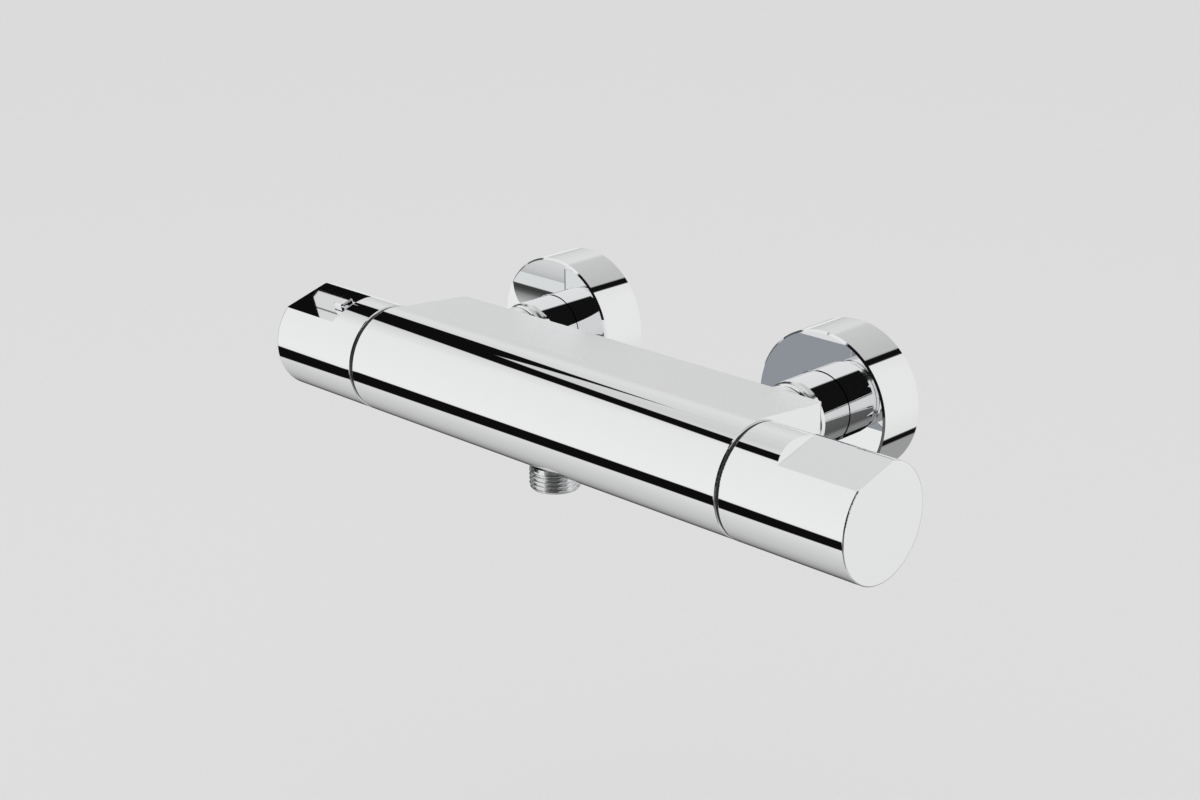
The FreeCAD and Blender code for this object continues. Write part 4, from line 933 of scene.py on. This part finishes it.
@dataclass(frozen=True)
class WallUnion:
    """Offset wall union with the nut's thread in front and the lower wall thread behind.

    Places along the axis are depths behind the bar's axis.
    """

    side: str
    axis_x: float
    start: float = 0.0599
    nut_thread_radius: float = 0.0132
    nut_thread_length: float = 0.015
    lead: float = 0.001
    waist_radius: float = 0.0116
    shift_start: float = 0.086
    shift_end: float = 0.0925
    offset: float = 0.006
    wall_thread_start: float = 0.0945
    wall_thread_end: float = 0.107
    relief: float = 0.001
    near_bore: float = 0.008
    far_bore: float = 0.0075

    def build(self, shelf: "FinishShelf") -> None:
        """Makes the union and puts it in its place.

        Args:
            shelf: The finishes that it wears.
        """
        name = "threaded_union_" + self.side
        mesh = self._blank().mesh(name)
        finish = shelf.material(Slot.BRASS)
        front = Thread(self.nut_thread_radius, self.start, self.start + self.nut_thread_length)
        rear = Thread(PIPE_CREST, self.wall_thread_start, self.wall_thread_end, shift=self.offset)
        mesh = rear.cut(front.cut(mesh, finish), finish)
        turned = Matrix.Rotation(math.radians(-90.0), 4, "X")
        mesh.transform(Matrix.Translation((self.axis_x, BAR_Y, self.offset)) @ turned)
        hand_over(mesh, name, "eccentric_union_" + self.side, "valve_body")

    def _blank(self) -> TurnedBlank:
        """The union before its threads are cut.

        Returns:
            Its rings, outside and in the bore.
        """
        waist = self.start + self.nut_thread_length
        root = PIPE_CREST - self.relief
        off = self.offset
        outside = [Ring(self.start, self.nut_thread_radius - self.lead)]
        outside += ladder(self.start + self.lead, waist, self.nut_thread_radius)
        outside += [Ring(waist, self.waist_radius), Ring(self.shift_start, self.waist_radius),
                    Ring(self.shift_end, self.waist_radius, off), Ring(self.shift_end, root, off),
                    Ring(self.wall_thread_start, root, off)]
        outside += ladder(self.wall_thread_start, self.wall_thread_end - self.lead, PIPE_CREST, off)
        outside.append(Ring(self.wall_thread_end, root, off))
        bore = (Ring(self.start, self.near_bore), Ring(self.shift_start, self.near_bore),
                Ring(self.shift_end, self.far_bore, off), Ring(self.wall_thread_end, self.far_bore, off))
        return TurnedBlank(tuple(outside), bore)


# ---------------------------------------------------------------- studio
@dataclass(frozen=True)
class StudioLight:
    """What the studio shows from each direction.

    Round the bar's axis, turn is 0 in front, 90 above, 180 behind and negative below. Lean is
    the angle away from the plane square to the bar. The studio is pale, with two long dark
    screens that chrome shows as its black lines, one above and one below. Towards the bar's ends
    it dims to far. Spin goes round the wall's normal, 0 on the right and 90 above: side_light
    follows it behind the valve and card_light in front, both from their reach to the right.
    """

    diffuse_level: float = 0.9
    mirror_gain: float = 1.0 / 0.9
    dark: float = 13.0
    edge: float = 0.9
    far: float = 84.0
    far_start: tuple[float, float] = (58.0, 62.0)
    far_end: tuple[float, float] = (79.0, 3.0)
    back_turn: tuple[float, float] = (148.0, 151.5)
    side_reach: tuple[float, float] = (-0.5, -0.4)
    side_depth: tuple[float, float] = (0.1, 0.4)
    card_reach: tuple[float, float] = (-0.14, -0.1)
    card_depth: tuple[float, float] = (0.25, 0.3)
    turn_light: tuple[tuple[float, float], ...] = (
        (-180.0, 70.0), (-140.0, 62.0), (-130.0, 92.0), (-120.0, 143.0), (-105.0, 172.0), (-90.0, 190.0),
        (-50.0, 215.0), (-20.0, 235.0), (60.0, 231.0), (70.0, 229.0), (100.0, 205.0), (142.0, 220.0),
        (165.0, 208.0), (180.0, 190.0))
    upper_top: tuple[tuple[float, float], ...] = (
        (30.0, 113.0), (39.0, 115.0), (42.0, 119.5), (45.0, 125.5), (48.0, 130.0), (60.0, 131.0))
    upper_low: tuple[tuple[float, float], ...] = (
        (30.0, 66.0), (37.0, 75.3), (44.0, 88.0), (48.5, 99.5), (60.0, 106.0))
    wedge_top: tuple[tuple[float, float], ...] = (
        (30.0, 114.0), (39.0, 115.2), (41.5, 112.8), (43.2, 109.5), (45.0, 103.0), (60.0, 100.0))
    wedge_low: tuple[tuple[float, float], ...] = (
        (30.0, 78.0), (37.0, 89.0), (40.5, 95.0), (43.2, 101.8), (45.0, 109.0), (60.0, 112.0))
    lower_top: tuple[tuple[float, float], ...] = (
        (30.0, -28.5), (35.5, -27.2), (38.0, -25.7), (47.7, -26.7), (48.1, -29.5), (60.0, -32.0))
    lower_low: tuple[tuple[float, float], ...] = (
        (30.0, -42.5), (35.5, -45.2), (39.0, -45.4), (43.0, -47.2), (47.7, -50.4), (48.1, -52.8),
        (50.0, -56.0), (60.0, -62.0))
    back_light: tuple[tuple[float, float, float, float], ...] = (
        (30.0, 148.0, 153.0, 159.0), (38.6, 148.0, 153.0, 159.0), (40.2, 226.0, 228.0, 228.0),
        (60.0, 226.0, 228.0, 228.0))
    window: tuple[tuple[float, float], ...] = ((120.8, 49.1), (121.7, 49.5), (122.03, 49.42))
    window_bounds: tuple[float, float] = (49.0, 49.6)
    window_low: tuple[float, float] = (48.25, 48.35)
    window_edge: float = 0.02
    window_fade: float = 0.03
    window_bar: tuple[float, float, float] = (121.29, 121.31, 121.37)
    window_bar_share: float = 0.8
    side_light: tuple[tuple[float, float], ...] = (
        (-180.0, 150.0), (-67.0, 152.0), (-65.5, 16.0), (-56.5, 16.0), (-55.0, 222.0), (-20.0, 230.0),
        (40.0, 230.0), (59.5, 226.0), (60.5, 16.0), (69.5, 16.0), (70.5, 186.0), (120.0, 198.0),
        (180.0, 205.0))
    card_light: tuple[tuple[float, float], ...] = (
        (-180.0, 133.0), (-75.0, 133.0), (-60.0, 85.0), (-16.0, 98.0), (-13.0, 18.0), (95.0, 18.0),
        (99.0, 225.0), (180.0, 225.0))

    def build(self, background: float) -> bpy.types.World:
        """Makes the world.

        Args:
            background: Display value that the camera sees behind the valve.

        Returns:
            The world, set as the scene's.
        """
        world = bpy.data.worlds.new("pale_studio")
        world.use_nodes = True
        world.node_tree.nodes.clear()
        nodes = NodeWriter(world.node_tree)
        mirrored = self._mirrored(nodes)
        path = nodes.add("ShaderNodeLightPath")
        camera = Wire(nodes, path.outputs["Is Camera Ray"])
        glossy = Wire(nodes, path.outputs["Is Glossy Ray"])
        plain = (self.diffuse_level,) * 3 + (1.0,)
        seen = (linear(background),) * 3 + (1.0,)
        colour = nodes.mix(camera, nodes.mix(glossy, plain, mirrored), seen)
        shader = nodes.wire("ShaderNodeBackground", 0, {}, {"Color": colour, "Strength": 1.0})
        nodes.add("ShaderNodeOutputWorld", {}, {"Surface": shader})
        bpy.context.scene.world = world
        return world

    def _mirrored(self, nodes: NodeWriter) -> Wire:
        """Colour that a mirror shows for its direction.

        Args:
            nodes: Writer of the world's tree.

        Returns:
            The colour.
        """
        x, y, z = nodes.parts(nodes.wire("ShaderNodeTexCoord", "Generated"))
        turn = nodes.angle(z, -y)
        reach = nodes.math("SQRT", y * y + z * z, 0.0)
        lean = abs(nodes.angle(-x, reach))
        light = self._ring_light(nodes, turn, self.turn_light)
        black = self._upper(nodes, turn, lean).at_least(self._lower(nodes, turn, lean))
        black = black * (1.0 - self._window(nodes, turn, lean))
        along = nodes.mix(black, light, self._grey(self.dark))
        along = nodes.mix((-turn).step(*self.back_turn), along, self._back(nodes, lean))
        end, fade = self.far_end
        dim = lean.step(*self.far_start) * (end - lean).step(0.0, fade)
        along = nodes.mix(dim, along, self._grey(self.far))
        spin = nodes.angle(z, x)
        behind = x.step(*self.side_reach) * y.step(*self.side_depth)
        beside = nodes.mix(behind, along, self._ring_light(nodes, spin, self.side_light))
        card = x.step(*self.card_reach) * (-y).step(*self.card_depth)
        return nodes.mix(card, beside, self._ring_light(nodes, spin, self.card_light))

    def _grey(self, code: float) -> tuple[float, float, float, float]:
        """Colour that a mirror shows as the given display value."""
        return (linear(code) * self.mirror_gain,) * 3 + (1.0,)

    def _back(self, nodes: NodeWriter, lean: Wire) -> Wire:
        """Light from straight behind, which changes with the lean.

        Args:
            nodes: Writer of the world's tree.
            lean: Lean of the direction.

        Returns:
            The colour.
        """
        first, last = self.back_light[0][0], self.back_light[-1][0]
        stops = [((place - first) / (last - first), tuple(linear(code) * self.mirror_gain for code in codes))
                 for place, *codes in self.back_light]
        return nodes.ramp((lean - first) / (last - first), stops)

    def _window(self, nodes: NodeWriter, turn: Wire, lean: Wire) -> Wire:
        """Opening in the upper dark screen, with one thin bar across it.

        Args:
            nodes: Writer of the world's tree.
            turn: Turn of the direction.
            lean: Lean of the direction.

        Returns:
            1 in the opening, 0 outside.
        """
        first, last = self.window[0][0], self.window[-1][0]
        edge = nodes.curve(turn, list(self.window), *self.window_bounds)
        soft = self.window_edge
        inside = (edge - lean).step(-soft, soft) * lean.step(*self.window_low)
        level = turn.step(first, first + self.window_fade) * (last - turn).step(0.0, self.window_fade)
        start, full, end = self.window_bar
        bar = turn.step(start, full) * (end - turn).step(0.0, soft) * self.window_bar_share
        return inside * level * (1.0 - bar)

    def _ring_light(self, nodes: NodeWriter, angle: Wire, places: tuple) -> Wire:
        """Light that changes round an axis.

        Args:
            nodes: Writer of the world's tree.
            angle: Angle round the axis, from -180 to 180.
            places: Pairs of angle and display value, angles rising.

        Returns:
            The colour for the angle.
        """
        stops = [((place + 180.0) / 360.0, (linear(code) * self.mirror_gain,) * 3) for place, code in places]
        return nodes.ramp((angle + 180.0) / 360.0, stops)

    def _between(self, nodes: NodeWriter, turn: Wire, lean: Wire, low: tuple, top: tuple) -> Wire:
        """Share of a screen between two bent lines.

        Args:
            nodes: Writer of the world's tree.
            turn: Turn of the direction.
            lean: Lean of the direction.
            low: Lower line, as pairs of lean and turn.
            top: Upper line, as pairs of lean and turn.

        Returns:
            1 between the lines, 0 outside.
        """
        edges = [place[1] for place in (*low, *top)]
        floor, roof = min(edges) - 1.0, max(edges) + 1.0
        above = (turn - nodes.curve(lean, list(low), floor, roof)).step(-self.edge, self.edge)
        below = (nodes.curve(lean, list(top), floor, roof) - turn).step(-self.edge, self.edge)
        return above * below

    def _upper(self, nodes: NodeWriter, turn: Wire, lean: Wire) -> Wire:
        """The upper dark screen with the light wedge that splits it.

        Args:
            nodes: Writer of the world's tree.
            turn: Turn of the direction.
            lean: Lean of the direction.

        Returns:
            1 on the screen, 0 outside.
        """
        whole = self._between(nodes, turn, lean, self.upper_low, self.upper_top)
        wedge = self._between(nodes, turn, lean, self.wedge_low, self.wedge_top)
        return whole * (1.0 - wedge)

    def _lower(self, nodes: NodeWriter, turn: Wire, lean: Wire) -> Wire:
        """The lower dark screen."""
        return self._between(nodes, turn, lean, self.lower_low, self.lower_top)


@dataclass(frozen=True)
class Studio:
    """Camera, floor and lamp round the valve."""

    position: tuple[float, float, float] = (0.5515, -0.6347, 0.28664)
    forward: tuple[float, float, float] = (-0.6556, 0.6770, -0.3344)
    up: tuple[float, float, float] = (-0.2303, 0.2425, 0.9424)
    lens: float = 62.046
    shift: tuple[float, float] = (-0.00771, -0.00717)
    floor_z: float = -0.32
    floor_half: float = 30.0
    floor_colour: float = 0.782
    background: float = 221.0
    sensor: float = 36.0
    reach: float = 100.0
    lamp_place: tuple[float, float, float] = (-0.2, -0.5, 1.6)
    lamp_way: tuple[float, float, float] = (0.2, 0.42, -1.6)
    lamp_size: float = 1.6
    lamp_energy: float = 2.0
    light: StudioLight = StudioLight()

    def build(self) -> None:
        """Makes the camera, the world, the floor and the lamp."""
        self.light.build(self.background)
        self._camera()
        self._floor()
        self._lamp()
        bpy.context.scene.view_settings.view_transform = "Standard"

    def _camera(self) -> None:
        """Sets the camera at the photograph's place."""
        data = bpy.data.cameras.new("camera")
        data.lens = self.lens
        data.sensor_width = self.sensor
        data.shift_x, data.shift_y = self.shift
        data.clip_end = self.reach
        camera = bpy.data.objects.new("camera", data)
        forward = Vector(self.forward).normalized()
        side = forward.cross(Vector(self.up)).normalized()
        upright = side.cross(forward)
        turned = Matrix((side, upright, -forward)).transposed()
        camera.matrix_world = Matrix.Translation(self.position) @ turned.to_4x4()
        bpy.context.scene.collection.objects.link(camera)
        bpy.context.scene.camera = camera

    def _floor(self) -> None:
        """Lays a wide pale floor far below the valve."""
        half, low = self.floor_half, self.floor_z
        mesh = bpy.data.meshes.new("floor")
        corners = [(-half, -half, low), (half, -half, low), (half, half, low), (-half, half, low)]
        mesh.from_pydata(corners, [], [(0, 1, 2, 3)])
        floor = bpy.data.objects.new("floor", mesh)
        floor.visible_glossy = False
        material = bpy.data.materials.new("pale_floor")
        material.use_nodes = True
        material.node_tree.nodes.clear()
        nodes = NodeWriter(material.node_tree)
        shader = nodes.wire("ShaderNodeBsdfDiffuse", 0, {}, {"Color": (self.floor_colour,) * 3 + (1.0,)})
        nodes.add("ShaderNodeOutputMaterial", {}, {"Surface": shader})
        mesh.materials.append(material)
        bpy.context.scene.collection.objects.link(floor)

    def _lamp(self) -> None:
        """Hangs one wide soft lamp above, which mirrors don't show."""
        data = bpy.data.lights.new("soft_lamp", "AREA")
        data.shape = "DISK"
        data.size = self.lamp_size
        data.energy = self.lamp_energy
        lamp = bpy.data.objects.new("soft_lamp", data)
        lamp.location = self.lamp_place
        lamp.rotation_euler = Vector(self.lamp_way).to_track_quat("-Z", "Y").to_euler()
        lamp.visible_glossy = False
        bpy.context.scene.collection.objects.link(lamp)


def main() -> None:
    """Builds the looks of the valve."""
    logging.basicConfig(level=logging.INFO, format="%(name)s: %(message)s")
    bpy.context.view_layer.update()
    shelf = FinishShelf()
    shelf.dress_nodes(frame["record"]["subparts"])
    HoseOutlet().build(shelf)
    # The seam rings' near-black lips are partly painted shade in the shadowed seams beside the handles.
    SeamShadeRing("temperature", 1.0).build(shelf)
    SeamShadeRing("flow", -1.0).build(shelf)
    for side, inlet_x in INLETS.items():
        WallUnion(side, inlet_x).build(shelf)
    Studio().build()


if __name__ == "__main__":
    main()
